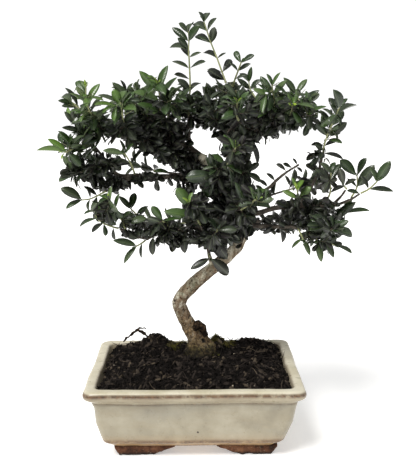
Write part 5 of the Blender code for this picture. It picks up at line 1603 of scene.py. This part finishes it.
def make_pot(settings):
    """The glazed tray: one closed skin round its wall's section, with its drainage holes."""
    rings = [tray_outline(inset, z, corner, POT_CORNER_STEPS, POT_SIDE_STEP)
             for inset, z, corner, _ in POT_SECTION]
    worn = [row[3] for ring, row in zip(rings, POT_SECTION) for _ in ring]
    mesh = mesh_of("glazed_pot", *loft(
        [[bend_body(point, settings.unevenness) for point in ring] for ring in rings]))
    give(mesh, "wear", "FLOAT", worn)
    glaze = glaze_finish()
    pot = add_piece("glazed_pot", mesh, glaze)
    cut_drains(pot)
    pot.data.materials.clear()
    pot.data.materials.append(glaze)
    pot.data.shade_smooth()
    pot.data.set_sharp_from_angle(angle=GLAZE_CREASE)
    finish_piece(pot, "pot", "pot")


FOOT_CORNER_X = 76.4
FOOT_CORNER_Y = 53.8
FOOT_TAPER = 5.5
FOOT_ARM = 14.0
FOOT_VOXEL = 1.1
# Heights of a foot's outlines, how far their corner is drawn in, and where their arms end
FOOT_SECTION = [
    (0.0, FOOT_TAPER, 39.0, 28.0), (3.0, FOOT_TAPER / 2, 35.0, 25.0),
    (BODY_BOTTOM - 2.0, 0.0, 21.0, 16.0), (BODY_BOTTOM + 0.6, 0.0, 17.5, 14.0)]


def foot_outline(z, taper, end_x, end_y, sign_x, sign_y):
    """The L shape of one corner foot at a height, its outer corner drawn in by the taper."""
    outer_x = FOOT_CORNER_X - taper
    outer_y = FOOT_CORNER_Y - 0.35 * taper
    thick = FOOT_ARM - 0.8 * taper
    corner = [
        (outer_x, outer_y), (end_x, outer_y), (end_x, outer_y - thick),
        (outer_x - thick, outer_y - thick), (outer_x - thick, end_y), (outer_x, end_y)]
    points = [(sign_x * x, sign_y * y, z) for x, y in corner]
    return points if sign_x * sign_y > 0 else points[::-1]


def make_feet(settings):
    """Bracket feet, their edges rubbed round and their undersides rough."""
    vertices, faces = [], []
    for sign_x, sign_y in ((1, 1), (1, -1), (-1, 1), (-1, -1)):
        points, sides = loft([foot_outline(*row, sign_x, sign_y) for row in FOOT_SECTION])
        faces += [[len(vertices) + i for i in side] for side in sides]
        vertices += [place(point) for point in points]
    feet = add_piece("clay_feet", mesh_of("clay_feet", vertices, faces))
    soften(feet, FOOT_VOXEL, 4)
    for vertex in feet.data.vertices:
        point = vertex.co / MM
        low = max(0.0, 1.0 - point.z / 6.0)
        moved = point + (wobble(point, settings.chips * (0.4 + low), 6.0, 2.0)
                         + wobble(point, 0.35, 2.2, 5.0))
        moved.z = min(max(moved.z, 0.0), BODY_BOTTOM + 0.8)
        vertex.co = moved * MM
    feet.data.materials.append(clay_finish())
    feet.data.shade_smooth()
    finish_piece(feet, "pot", "pot")


# Soil

def soil_level(x, y, edge_share):
    """Height of the soil, where edge_share is 0 at the trunk and 1 at the pot's wall."""
    mound = SOIL_MOUND * (1.0 - edge_share ** SOIL_SHOULDER)
    bump = sum(height * math.exp(-((x - hx) ** 2 + (y - hy) ** 2) / reach ** 2)
               for hx, hy, height, reach in HEAPS)
    return POT_HEIGHT - SOIL_EDGE_DROP + mound + bump


SOIL_RINGS = 44
SOIL_CORNER_STEPS = 5
SOIL_SIDE_STEP = 3.6
# Inset, height and corner radius of the bed where it lies against the pot
SOIL_WALL = [(23.0, FLOOR_TOP + 1.8, 5.0), (18.9, 24.0, 6.0), (16.1, 37.0, 6.0), (14.5, 50.0, 6.0),
             (13.8, 61.6, 6.0)]

# Where the photograph shows moss: pixel middles, half axes
MOSS = [(175, 345, 7, 5), (216, 336, 12, 8), (201, 353, 17, 4), (229, 343, 7, 4)]


def reach_from(place, spot):
    """How far a place is from a spot's middle, as a share of the spot's half axes."""
    return math.hypot((place[0] - spot[0]) / spot[2], (place[1] - spot[1]) / spot[3])


def soil_surface():
    """Rings of the soil's top from the wall to the trunk, lumpy, with how mossy each point is."""
    edge = tray_outline(
        RIM_FACE + 1.6, POT_HEIGHT - SOIL_EDGE_DROP, 6.0, SOIL_CORNER_STEPS, SOIL_SIDE_STEP)
    rings, moss = [], []
    for k in range(SOIL_RINGS + 1):
        share = 1.0 - k / SOIL_RINGS
        ring = []
        for ex, ey, _ in edge:
            reach = math.hypot(ex - ROOT_X, ey - ROOT_Y)
            inner = SOIL_HOLE_RADIUS * (0.2 if k == SOIL_RINGS else 1.0)
            hx = ROOT_X + (ex - ROOT_X) * inner / reach
            hy = ROOT_Y + (ey - ROOT_Y) * inner / reach
            x = hx + (ex - hx) * share
            y = hy + (ey - hy) * share
            z = soil_level(x, y, share)
            rough = (1.7 * noise.fractal(Vector((x, y, 0)) / 9.0, 0.9, 2.0, 4)
                     + 0.9 * noise.noise(Vector((x, y, 3)) / 2.6))
            z += rough * min(1.0, 0.35 + 3.0 * (1.0 - share))
            ring.append((x, y, z))
            seen_at = picture(Vector((x, y, z)))
            tuft = max(0.0, 1.25 - min(reach_from(seen_at, spot) for spot in MOSS))
            patchy = 0.5 + 0.5 * noise.noise(Vector((x, y, 9)) / 4.0) > 0.40
            moss.append(min(1.0, 1.6 * tuft) * patchy)
        rings.append(ring)
    return rings, moss


def make_soil(settings):
    """The bed: a closed lump that fills the tray, closed by a small cap under the root."""
    rings, _ = soil_surface()
    below = [tray_outline(*row, SOIL_CORNER_STEPS, SOIL_SIDE_STEP) for row in SOIL_WALL]
    vertices, faces = loft([[place(p) for p in ring] for ring in below + rings])
    soil = add_piece("soil_bed", mesh_of("soil_bed", vertices, faces), soil_finish("dark_soil"))
    soil.data.shade_smooth()
    finish_piece(soil, "soil", "soil")


def strewing_ground(name, share):
    """The soil's top alone, as the ground for litter, which is densest where its share is high."""
    rings, moss = soil_surface()
    vertices, faces = loft([[place(p) for p in ring] for ring in rings])
    mesh = mesh_of(name, vertices, faces[1:-1])
    give(mesh, "share", "FLOAT", [share(mossy) for mossy in moss])
    return add_piece(name, mesh)


def shape_collection(name, meshes):
    """The shapes that a tree copies, in a collection."""
    group = bpy.data.collections.new(name)
    bpy.context.scene.collection.children.link(group)
    for mesh in meshes:
        group.objects.link(bpy.data.objects.new(mesh.name, mesh))
    return group


def drop_collection(group):
    """Remove a collection of shapes once they have been copied."""
    for thing in list(group.objects):
        bpy.data.objects.remove(thing, do_unlink=True)
    bpy.data.collections.remove(group)


# The corners of a three-sided fibre or spike
THREE_SIDES = (0.0, 2.094, 4.189)
CHIP_SIDES = 7
FIBRE_STEPS = 7


def chip_mesh(name, length, width, height, rng):
    """A flat broken piece of bark with a ragged outline."""
    lower, upper = [], []
    for i in range(CHIP_SIDES):
        angle = 2 * math.pi * i / CHIP_SIDES
        reach = rng.uniform(0.6, 1.0)
        x, y = length * reach * math.cos(angle), width * reach * math.sin(angle)
        lower.append((x * MM, y * MM, -height * rng.uniform(0.6, 1.2) * MM))
        upper.append((x * 0.86 * MM, y * 0.8 * MM, height * rng.uniform(0.4, 1.4) * MM))
    return mesh_of(name, *loft([lower, upper]))


def fibre_mesh(name, length, radius, curl, rng):
    """A bent root fibre, three-sided and thin."""
    rings = []
    heading = Vector((1, 0, 0.1))
    centre = Vector((-length / 2, 0, 0))
    for k in range(FIBRE_STEPS + 1):
        bend = Vector((0, rng.uniform(-curl, curl), rng.uniform(-curl, curl) * 0.5))
        heading = (heading + bend).normalized()
        across = heading.cross(UP).normalized()
        over = across.cross(heading)
        thin = radius * (1.0 - 0.7 * abs(2 * k / FIBRE_STEPS - 1.0))
        rings.append([tuple((centre + (across * math.cos(a) + over * math.sin(a)) * thin) * MM)
                      for a in THREE_SIDES])
        centre = centre + heading * (length / FIBRE_STEPS)
    return mesh_of(name, *loft([ring[::-1] for ring in rings]))


def tuft_mesh(name, blades, rng):
    """A tuft of moss: thin closed spikes that lean apart."""
    vertices, faces = [], []
    for _ in range(blades):
        x, y = rng.uniform(-0.8, 0.8), rng.uniform(-0.8, 0.8)
        lean = Vector((x * 1.3 + rng.uniform(-0.4, 0.4), y * 1.3 + rng.uniform(-0.4, 0.4),
                       rng.uniform(1.4, 2.6)))
        start = len(vertices)
        turn = rng.uniform(0, 2)
        for side in THREE_SIDES:
            a = turn + side
            vertices.append(((x + 0.2 * math.cos(a)) * MM, (y + 0.2 * math.sin(a)) * MM, -0.3 * MM))
        vertices.append(tuple((Vector((x, y, 0)) + lean) * MM))
        faces += [(start + 2, start + 1, start), (start, start + 1, start + 3),
                  (start + 1, start + 2, start + 3), (start + 2, start, start + 3)]
    return mesh_of(name, vertices, faces)


def strew(name, shapes, share, finish, density, **values):
    """A piece of litter: shapes strewn over the soil, so many for each square millimetre."""
    ground = strewing_ground(name, share)
    group = shape_collection(name + "_shapes", shapes)
    run_tree(ground, scatter_tree(), Shapes=group, Finish=finish, Density=density / MM ** 2,
             **values)
    drop_collection(group)
    if not ground.data.polygons:
        raise RuntimeError(f"nothing was strewn for {name}")
    ground.data.shade_flat()
    finish_piece(ground, "soil")


def off_moss(mossy):
    """The share of litter that lies where the soil is so mossy."""
    return 1.0 - 0.7 * mossy


def make_litter(settings):
    """Bark chips, root fibres and pale grains on the soil."""
    rng = random.Random(5)
    chips = [chip_mesh(f"chip_{k}", rng.uniform(2.0, 5.2), rng.uniform(0.7, 1.5),
                       rng.uniform(0.4, 0.9), rng) for k in range(8)]
    strew("bark_chips", chips, off_moss, soil_finish("bark_chips", 0.7), settings.chips,
          Smallest=0.6, Largest=1.5, Tilt=0.75, Sink=0.0003, Seed=4)
    fibres = [fibre_mesh(f"fibre_{k}", rng.uniform(7, 18), rng.uniform(0.22, 0.5), 0.45, rng)
              for k in range(8)]
    strew("root_fibres", fibres, off_moss, soil_finish("root_fibres", 0.85), settings.fibres,
          Smallest=0.5, Largest=1.3, Tilt=0.5, Sink=0.0006, Seed=9)
    grains = [chip_mesh(f"grain_{k}", rng.uniform(0.5, 0.9), rng.uniform(0.5, 0.9),
                        rng.uniform(0.4, 0.6), rng) for k in range(4)]
    strew("pale_grains", grains, off_moss, grain_finish(), settings.grains,
          Smallest=0.6, Largest=1.5, Tilt=1.5, Sink=0.0006, Seed=14)


def make_moss(settings):
    """Tufts of moss where the photograph shows them."""
    rng = random.Random(8)
    tufts = [tuft_mesh(f"tuft_{k}", 6, rng) for k in range(5)]
    strew("moss", tufts, float, moss_finish(), settings.moss,
          Smallest=0.6, Largest=1.3, Tilt=0.5, Sink=0.0, Seed=21)


# Wood

def smooth_path(points, step):
    """A smooth curve through points in short even steps: (point, position in the list)."""
    path = [Vector(p) for p in points]
    ends = [path[0] * 2 - path[1]] + path + [path[-1] * 2 - path[-2]]
    result = []
    for k in range(len(path) - 1):
        a, b, c, d = ends[k:k + 4]
        count = max(1, round((c - b).length / step))
        for i in range(count):
            t = i / count
            point = 0.5 * ((2 * b) + (c - a) * t + (2 * a - 5 * b + 4 * c - d) * t ** 2
                           + (3 * b - a - 3 * c + d) * t ** 3)
            result.append((point, k + t))
    result.append((path[-1], len(path) - 1.0))
    return result


def path_mesh(name, paths):
    """Edges along paths: each path is points and girths in millimetres and one tint."""
    vertices, edges, girths, tints = [], [], [], []
    for points, radii, tint in paths:
        start = len(vertices)
        vertices += [place(p) for p in points]
        girths += [r * MM for r in radii]
        tints += [tint] * len(points)
        edges += [(start + k, start + k + 1) for k in range(len(points) - 1)]
    mesh = mesh_of(name, vertices, [], edges)
    give(mesh, "girth", "FLOAT", girths)
    give(mesh, "tint", "FLOAT", tints)
    return mesh


def route_girths(centres, radii):
    """The girth at each point of a smooth path, from the radii at the places it runs through."""
    return [float(np.interp(at, range(len(radii)), radii)) for _, at in centres]


def wood_paths():
    """The trunk, its surface roots and every branch as smooth paths with girths."""
    route, radii = trunk_points()
    centres = smooth_path(route, WOOD_STEP)
    paths = [([p for p, _ in centres], route_girths(centres, radii), 0.0)]
    rng = random.Random(ROOT_SEED)
    radii = [radius for _, _, radius in ROOT_LOBE]
    for lobe in range(ROOT_LOBES):
        angle = 2 * math.pi * (lobe + rng.uniform(-0.2, 0.2)) / ROOT_LOBES
        out = Vector((math.cos(angle), math.sin(angle), 0.0))
        foot = Vector((ROOT_X, ROOT_Y, ROOT_TOP))
        route = [foot + out * reach + UP * rise for reach, rise, _ in ROOT_LOBE]
        centres = smooth_path(route, ROOT_STEP)
        paths.append(([p for p, _ in centres], route_girths(centres, radii), 0.0))
    for branch in BRANCHES.values():
        route, radii = branch_points(branch)
        centres = smooth_path(route, WOOD_STEP)
        girths = []
        for k, girth in enumerate(route_girths(centres, radii)):
            flare = 0.55 * math.exp(-k / 1.6)
            knots = 1.0 + 0.12 * noise.noise(centres[k][0] / 5.0)
            girths.append(girth * (knots + flare))
        paths.append(([p for p, _ in centres], girths, 1.0))
    return paths


WOOD_STEP = 2.0
ROOT_STEP = 1.5
# The hole at the root: where the photograph shows it, the wood it can be in, its size
KNOT_PLACE = (204.7, 338.5)
KNOT_REACH = 2.0
KNOT_TOP = 120.0
KNOT_RADIUS = 3.0
KNOT_DEPTH = 3.2
PITTED_BELOW = 150
ROUGH_BELOW = 80.0


def carve_bark(mesh, roughness):
    """Raise and sink the skin, and store where it is thin wood, how far it is turned from the key
    light and where the hole is: the last two carry painted shade.
    """
    points = [v.co / MM + CROWN_MIDDLE for v in mesh.vertices]
    normals = [v.normal.copy() for v in mesh.vertices]
    trunk = [(Vector(p[:3]), p[3]) for p in TRUNK_ROUTE]
    near = [p for p in points
            if p.z < KNOT_TOP and math.dist(picture(p), KNOT_PLACE) < KNOT_REACH]
    knot = min(near, key=lambda p: p.y)
    thin, lee, holes, shifts = [], [], [], []
    for point, normal in zip(points, normals):
        gap = min((point - centre).length - radius for centre, radius in trunk)
        share = min(1.0, max(0.0, (gap - 2.5) / 4.0))
        thin.append(share)
        # painted shade: how far the skin faces right and down, away from the key light
        turned_from_key = 0.2 + 0.9 * normal.x - 0.7 * normal.z
        lee.append(min(1.0, max(0.0, turned_from_key)) * (1.0 - share))
        lumps = noise.fractal(point / 9.0, 0.8, 2.0, 3) * 0.55
        ridges = noise.noise(Vector((point.x / 2.6, point.y / 2.6, point.z / 7.0))) * 0.32
        pits = noise.noise(point / 1.7 + Vector((9, 9, 9)))
        depth = lumps + ridges - (
            0.55 * max(0.0, pits - 0.25) if point.z < PITTED_BELOW else 0.0)
        size = roughness * (1.0 - 0.72 * share)
        base = math.exp(-max(0.0, point.z - ROUGH_BELOW) / 14.0)
        sunk = max(0.0, 1.0 - ((point - knot).length / KNOT_RADIUS) ** 2)
        holes.append(min(1.0, 2.2 * sunk))
        shifts.append(depth * size * (1.0 + 1.6 * base) - KNOT_DEPTH * sunk)
    for vertex, normal, shift in zip(mesh.vertices, normals, shifts):
        vertex.co = vertex.co + normal * (shift * MM)
    give(mesh, "thin", "FLOAT", thin)
    give(mesh, "lee", "FLOAT", lee)
    give(mesh, "hole", "FLOAT", holes)


def make_wood(settings):
    """The trunk, its roots and its branches, grown together in one skin of bark."""
    wood = add_piece("bark", path_mesh("bark", wood_paths()))
    bark = bark_finish()
    run_tree(wood, tube_tree(), Sides=14, Thickness=1.0, Finish=bark)
    soften(wood, settings.voxel, 2)
    carve_bark(wood.data, settings.roughness)
    wood.data.materials.clear()
    wood.data.materials.append(bark)
    wood.data.shade_smooth()
    finish_piece(wood, "bark", "wood")


# A broken stub beside the trunk and a dead twig that lies over the heap of soil: the points seen at
# their places, each with its depth and girth in millimetres
STUB = [(188, 331, 11, 5.0), (193, 327.5, 9, 5.0), (197.5, 325, 7.5, 4.4), (201, 325.5, 7.5, 4.0),
        (203.5, 329.5, 8.5, 3.4), (205, 334.5, 10, 3.2)]
DEAD_TWIG = [(124, 341, 52, 0.8), (131, 334.5, 54, 1.1), (138, 330.5, 55, 1.3), (143, 333, 54, 1.5),
             (149, 337, 50, 1.2)]
DEAD_FORK = [(138, 330.5, 55, 1.0), (141, 327.5, 55, 0.8), (146, 328.5, 56, 0.6)]


def make_dead_wood(settings):
    """The broken stub and the forked dead twig, lumpy and dark."""
    paths = []
    for route in (STUB, DEAD_TWIG, DEAD_FORK):
        centres = smooth_path([seen(*p[:3]) for p in route], 1.0)
        girths = route_girths(centres, [p[3] for p in route])
        paths.append(([p for p, _ in centres],
                      [girth * (1.0 + 0.3 * noise.noise(p / 1.6))
                       for girth, (p, _) in zip(girths, centres)], 0.0))
    dead = add_piece("dead_wood", path_mesh("dead_wood", paths))
    run_tree(dead, tube_tree(), Sides=9, Thickness=1.0, Finish=dead_finish())
    for vertex in dead.data.vertices:
        vertex.co = vertex.co + wobble(vertex.co / MM, 1.5, 3.2, 4.0) * MM
    dead.data.shade_smooth()
    finish_piece(dead, "bark")


# Leaves and stems

def blade_mesh(name, blade, rows):
    """A thin closed leaf blade, 1 long along Y and 1 wide, its upper side to +Z."""
    fold = math.radians(blade.fold)
    vertices, uvs = [], []
    for v, width in zip(rows, blade.shape):
        half = width / 2
        rise = -blade.droop * v * v * 2.2
        lift = half * math.tan(fold) * 0.42
        thick = 0.012 * (1.0 if 0 < v < 1 else 0.4)
        vertices += [(-half, v, rise + lift), (0.0, v, rise + thick), (half, v, rise + lift),
                     (0.0, v, rise - thick)]
        uvs += [(0.5 - half * 0.9, v), (0.5, v), (0.5 + half * 0.9, v), (0.5, v)]
    faces, under = [], []
    for k in range(len(rows) - 1):
        a, b = 4 * k, 4 * (k + 1)
        faces += [(a, a + 1, b + 1, b), (a + 1, a + 2, b + 2, b + 1)]
        faces += [(a + 2, a + 3, b + 3, b + 2), (a + 3, a, b, b + 3)]
        under += [0.0, 0.0, 1.0, 1.0]
    last = 4 * (len(rows) - 1)
    faces += [(3, 2, 1, 0), (last, last + 1, last + 2, last + 3)]
    under += [0.0, 0.0]
    mesh = mesh_of(name, vertices, faces)
    layer = mesh.uv_layers.new(name="blade")
    for loop in mesh.loops:
        layer.data[loop.index].uv = uvs[loop.vertex_index]
    give(mesh, "under", "FLOAT", under, "FACE")
    mesh.shade_smooth()
    return mesh


def seats_mesh(name, seats, width):
    """One point for each leaf, with its turn, stretch, tint and the kind of blade."""
    mesh = mesh_of(name, [place(s.foot) for s in seats], [])
    turns, stretches = [], []
    for s in seats:
        side = s.along.cross(s.normal)
        turn = Matrix((side, s.along, s.normal)).transposed().to_quaternion()
        turns.append(tuple(turn))
        stretches.append((s.size * width * MM, s.size * MM, s.size * MM))
    give(mesh, "turn", "QUATERNION", turns)
    give(mesh, "stretch", "FLOAT_VECTOR", stretches)
    give(mesh, "tint", "FLOAT", [min(1.0, max(0.0, s.tint)) for s in seats])
    give(mesh, "kind", "INT", [s.kind for s in seats])
    # painted sheen: a random weight for each leaf's grey sheen
    rng = random.Random(len(seats))
    give(mesh, "bloom", "FLOAT", [rng.random() for _ in seats])
    return mesh


# How young the leaves of a shoot are where the photograph shows them paler, and how dark they are
# painted as shade where it shows them darker than the rest
FRESH_AND_SHADE = {
    "left_top": 0.42, "left_low_rise": 0.40, "pale_tip": 0.44, "leader_rise": 0.40,
    "leader_end": 0.20,
    "upper_left_rise": 0.12, "upper_right_front": 0.46, "right_low_front": 0.52, "front_low": 0.36,
    "front_mid": 0.36, "front_high": 0.34, "left_rim": 0.42, "left_edge": 0.30, "upright": 0.18,
    "apex": 0.16, "apex_right": 0.20,
    "right_low_top": 0.08, "pale_low": 0.02, "pale_mid": 0.10, "right_shoot": 0.18,
    "left_low_end": 0.22,
    "left_crest": 0.14, "right_low_rise": 0.16, "right_low_end": 0.16, "right_low_side": 0.16,
    "inner_upright": 0.10, "inner_leader": 0.10, "inner_upper_left": 0.12, "inner_right": 0.10,
    "inner_trunk": 0.06, "inner_fork": 0.08,
}


# Shoots whose leaves the photograph shows long and narrow
NARROW = (
    "upper_left_rise", "leader_rise", "leader_end", "left_crest", "left_top",
    "left_top_twig", "upper_right_rise", "upper_right_front", "upper_right_top", "upper_right_out",
    "upper_right_end", "left_rim", "left_low_twig", "left_hanging", "pale_tip", "left_mid_rise")
NARROW_SHARE = 0.75
LANCE = 2
# From this freshness on, a shoot's end is still growing
YOUNG_SHOOT = 0.34


def shoot_seats(shoots):
    """Leaves of the planned shoots, fresher towards the tip, with a small pair to end each."""
    rng = random.Random(31)
    seats = []
    for shoot in shoots:
        length = route_length(shoot.points)
        name = shoot.name.removeprefix("shoot_")
        fresh_and_shade = FRESH_AND_SHADE.get(name, rng.uniform(0.16, 0.34))
        for distance, leaves in shoot.pairs:
            foot, _ = along_path(shoot.points, distance - PAIR_HEIGHT / 2)
            for along, normal, size in leaves:
                tint = fresh_and_shade + 0.22 * (distance / length - 0.4) + rng.uniform(-0.07, 0.07)
                narrow = name in NARROW and rng.random() < NARROW_SHARE
                kind = LANCE if narrow else rng.randrange(len(BLADES))
                seats.append(Seat(foot, along, normal, size, tint, kind))
        end, stem = along_path(shoot.points, length)
        across = stem.orthogonal().normalized()
        spin = rng.uniform(0, math.pi)
        for side in (0, math.pi):
            spread = math.radians(rng.uniform(14, 28))
            along, normal = splay(stem, across, spin + side, spread)
            young = fresh_and_shade >= YOUNG_SHOOT
            size = rng.uniform(7, 9.5) if young else rng.uniform(5, 7.5)
            tint = fresh_and_shade + (0.5 if young else 0.2)
            seats.append(Seat(end - stem * 0.5, along, normal, size, tint, LANCE))
    return seats


def grow_leaves(name, seats, blades, rows, width, finish, *nodes):
    """A piece of leaves: one of the blades on each seat."""
    group = shape_collection(name + "_shapes", [
        blade_mesh(f"blade_{k}_{key}", blade,
                   rows) for k, (key, blade) in enumerate(blades.items())])
    leaves = add_piece(name, seats_mesh(name, seats, width))
    run_tree(leaves, seat_tree(), Shapes=group, Size=1.0, Finish=finish)
    drop_collection(group)
    if not leaves.data.polygons:
        raise RuntimeError(f"no blade stands on the seats of {name}")
    finish_piece(leaves, "leaf", *nodes)


def grow_stems(name, stems, step, taper, sides, finish, *nodes):
    """A piece of stems, each a route, a radius and a tint, thinner towards its tip."""
    paths = []
    for points, radius, tint in stems:
        centres = smooth_path(points, step)
        last = len(points) - 1
        girths = [radius * (1.0 - taper * at / last) for _, at in centres]
        paths.append(([p for p, _ in centres], girths, tint))
    piece = add_piece(name, path_mesh(name, paths))
    run_tree(piece, tube_tree(), Sides=sides, Thickness=1.0, Finish=finish)
    piece.data.shade_smooth()
    finish_piece(piece, "leaf", *nodes)


def make_crown(settings):
    """The shoots that the solids have, then the small leaves and twigs between them."""
    wood, _ = wood_balls("")
    shoots = plan_shoots(wood, Crowd())
    names = sorted(shoot.name for shoot in shoots)
    if names != SHOOT_NODES:
        odd = set(names) ^ set(SHOOT_NODES)
        raise RuntimeError(f"the planned shoots aren't the solids': {odd}")
    stem = stem_finish()
    twigs, dark, green = plan_fill(shoots)
    seats = shoot_seats(shoots) + plan_wood_leaves() + green
    grow_leaves("outer_leaves", seats, BLADES, ROWS, BLADE_WIDTH_SHARE,
                leaf_finish("olive_leaf", 0.5, 0.20), *SHOOT_NODES)
    stems = [(shoot.points, STEM_RADIUS, 0.7) for shoot in shoots]
    grow_stems("green_stems", stems, 3.0, 0.45, 7, stem, *SHOOT_NODES)
    grow_leaves("inner_leaves", dark, SMALL_BLADES, SMALL_ROWS, SMALL_WIDTH_SHARE,
                leaf_finish("shaded_leaf", 0.35, 0.30))
    grow_stems("inner_twigs", twigs, 4.0, 0.5, 4, stem)


# Stage

KEY_FROM = (-0.42, -0.50, 0.90)
KEY_SPREAD = 26.0


def make_stage(settings):
    """A pale floor, soft studio light and the camera at the photograph's place."""
    scene = bpy.context.scene
    floor = add_piece("floor",
                      mesh_of("floor", [(-6, -6, 0), (6, -6, 0), (6, 6, 0), (-6, 6, 0)],
                              [(0, 1, 2, 3)]),
                      floor_finish())
    world = bpy.data.worlds.new("studio")
    world.use_nodes = True
    nodes = world.node_tree.nodes
    sky = nodes["Background"]
    sky.inputs["Color"].default_value = (1.0, 1.0, 1.0, 1.0)
    sky.inputs["Strength"].default_value = settings.sky
    backdrop = add_node(world.node_tree, "ShaderNodeBackground", Color=(1.0, 1.0, 1.0, 1.0),
                        Strength=1.1)
    seen_direct = nodes.new("ShaderNodeLightPath").outputs["Is Camera Ray"]
    both = add_node(world.node_tree, "ShaderNodeMixShader", Fac=seen_direct)
    world.node_tree.links.new(sky.outputs["Background"], both.inputs[1])
    world.node_tree.links.new(backdrop.outputs["Background"], both.inputs[2])
    world.node_tree.links.new(both.outputs["Shader"], nodes["World Output"].inputs["Surface"])
    scene.world = world
    scene.view_settings.view_transform = "Standard"
    light = bpy.data.lights.new("key_light", "SUN")
    light.angle = math.radians(KEY_SPREAD)
    light.energy = settings.key
    light.color = (1.0, 0.985, 0.96)
    lamp = bpy.data.objects.new("key_light", light)
    lamp.rotation_euler = (-Vector(KEY_FROM)).to_track_quat("-Z", "Y").to_euler()
    scene.collection.objects.link(lamp)
    lens = bpy.data.cameras.new("camera")
    lens.lens = LENS
    camera = bpy.data.objects.new("camera", lens)
    camera.location = place((0.0, -EYE_DISTANCE, EYE_HEIGHT))
    camera.rotation_euler = (math.pi / 2 - EYE_PITCH, 0.0, -EYE_YAW)
    scene.collection.objects.link(camera)
    scene.camera = camera


# Settings, operators and panel

class BonsaiPotSettings(bpy.types.PropertyGroup):
    unevenness: bpy.props.FloatProperty(
        name="Unevenness", description="How far the handmade pot strays from true, in millimetres",
        default=0.8)
    chips: bpy.props.FloatProperty(
        name="Chipped feet", description="How far the rough feet are chipped, in millimetres",
        default=1.2)


class BonsaiSoilSettings(bpy.types.PropertyGroup):
    chips: bpy.props.FloatProperty(
        name="Bark chips", description="Bark chips for each square millimetre of soil",
        default=0.15)
    fibres: bpy.props.FloatProperty(
        name="Root fibres", description="Root fibres for each square millimetre of soil",
        default=0.035)
    grains: bpy.props.FloatProperty(
        name="Pale grains", description="Pale grains for each square millimetre of soil",
        default=0.0009)
    moss: bpy.props.FloatProperty(
        name="Moss", description="Moss tufts for each square millimetre where moss grows",
        default=1.1)


class BonsaiTreeSettings(bpy.types.PropertyGroup):
    voxel: bpy.props.FloatProperty(
        name="Bark detail", description="Size of the smallest bark detail, in millimetres",
        default=0.9)
    roughness: bpy.props.FloatProperty(
        name="Bark roughness", description="How far the bark rises and falls, in millimetres",
        default=1.0)


class BonsaiStageSettings(bpy.types.PropertyGroup):
    sky: bpy.props.FloatProperty(
        name="Sky", description="Strength of the light from all round", default=0.46)
    key: bpy.props.FloatProperty(
        name="Key light", description="Strength of the soft main light from the upper left",
        default=3.2)


class BonsaiOperator:
    """Shared way to run a maker with its settings."""
    bl_options = {"REGISTER"}
    settings = ""
    makers = ()

    def execute(self, context):
        for maker in self.makers:
            maker(getattr(context.scene, self.settings))
        return {"FINISHED"}


class BONSAI_OT_pot(BonsaiOperator, bpy.types.Operator):
    """Make the glazed pot and its clay feet"""
    bl_idname = "bonsai.pot"
    bl_label = "Pot"
    settings = "bonsai_pot"
    makers = (make_pot, make_feet)


class BONSAI_OT_soil(BonsaiOperator, bpy.types.Operator):
    """Make the soil bed"""
    bl_idname = "bonsai.soil"
    bl_label = "Soil"
    settings = "bonsai_soil"
    makers = (make_soil,)


class BONSAI_OT_litter(BonsaiOperator, bpy.types.Operator):
    """Strew bark chips, fibres and pale grains over the soil"""
    bl_idname = "bonsai.litter"
    bl_label = "Litter"
    settings = "bonsai_soil"
    makers = (make_litter,)


class BONSAI_OT_moss(BonsaiOperator, bpy.types.Operator):
    """Grow moss round the trunk's foot"""
    bl_idname = "bonsai.moss"
    bl_label = "Moss"
    settings = "bonsai_soil"
    makers = (make_moss,)


class BONSAI_OT_wood(BonsaiOperator, bpy.types.Operator):
    """Make the trunk, its roots and its branches"""
    bl_idname = "bonsai.wood"
    bl_label = "Trunk and branches"
    settings = "bonsai_tree"
    makers = (make_wood, make_dead_wood)


class BONSAI_OT_crown(BonsaiOperator, bpy.types.Operator):
    """Grow the stems and leaves"""
    bl_idname = "bonsai.crown"
    bl_label = "Stems and leaves"
    settings = "bonsai_tree"
    makers = (make_crown,)


class BONSAI_OT_stage(BonsaiOperator, bpy.types.Operator):
    """Set up the floor, the light and the camera"""
    bl_idname = "bonsai.stage"
    bl_label = "Stage"
    settings = "bonsai_stage"
    makers = (make_stage,)


OPERATORS = (BONSAI_OT_pot, BONSAI_OT_soil, BONSAI_OT_litter, BONSAI_OT_moss, BONSAI_OT_wood,
             BONSAI_OT_crown,
             BONSAI_OT_stage)


class BONSAI_PT_panel(bpy.types.Panel):
    """The bonsai's sizes and pieces"""
    bl_idname = "BONSAI_PT_panel"
    bl_label = "Bonsai"
    bl_space_type = "VIEW_3D"
    bl_region_type = "UI"
    bl_category = "Bonsai"

    def draw(self, context):
        for name, group in SETTINGS.items():
            for setting in group.__annotations__:
                self.layout.prop(getattr(context.scene, name), setting)
        for operator in OPERATORS:
            self.layout.operator(operator.bl_idname)


SETTINGS = {
    "bonsai_pot": BonsaiPotSettings,
    "bonsai_soil": BonsaiSoilSettings,
    "bonsai_tree": BonsaiTreeSettings,
    "bonsai_stage": BonsaiStageSettings,
}


def register():
    """Make the settings, the operators and the panel known."""
    for name, group in SETTINGS.items():
        bpy.utils.register_class(group)
        setattr(bpy.types.Scene, name, bpy.props.PointerProperty(type=group))
    for kind in (*OPERATORS, BONSAI_PT_panel):
        bpy.utils.register_class(kind)


def unregister():
    """Take the panel, the operators and the settings away."""
    for kind in (BONSAI_PT_panel, *reversed(OPERATORS)):
        bpy.utils.unregister_class(kind)
    for name, group in SETTINGS.items():
        delattr(bpy.types.Scene, name)
        bpy.utils.unregister_class(group)


def main():
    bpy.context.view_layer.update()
    register()
    for node in ("drain_screen_left", "drain_screen_right"):
        screen = frame["nodes"][node]
        screen.data.materials.clear()
        screen.data.materials.append(plastic_finish())
    bpy.ops.bonsai.pot()
    bpy.ops.bonsai.soil()
    bpy.ops.bonsai.litter()
    bpy.ops.bonsai.moss()
    bpy.ops.bonsai.wood()
    bpy.ops.bonsai.crown()
    bpy.ops.bonsai.stage()


if __name__ == "__main__":
    main()
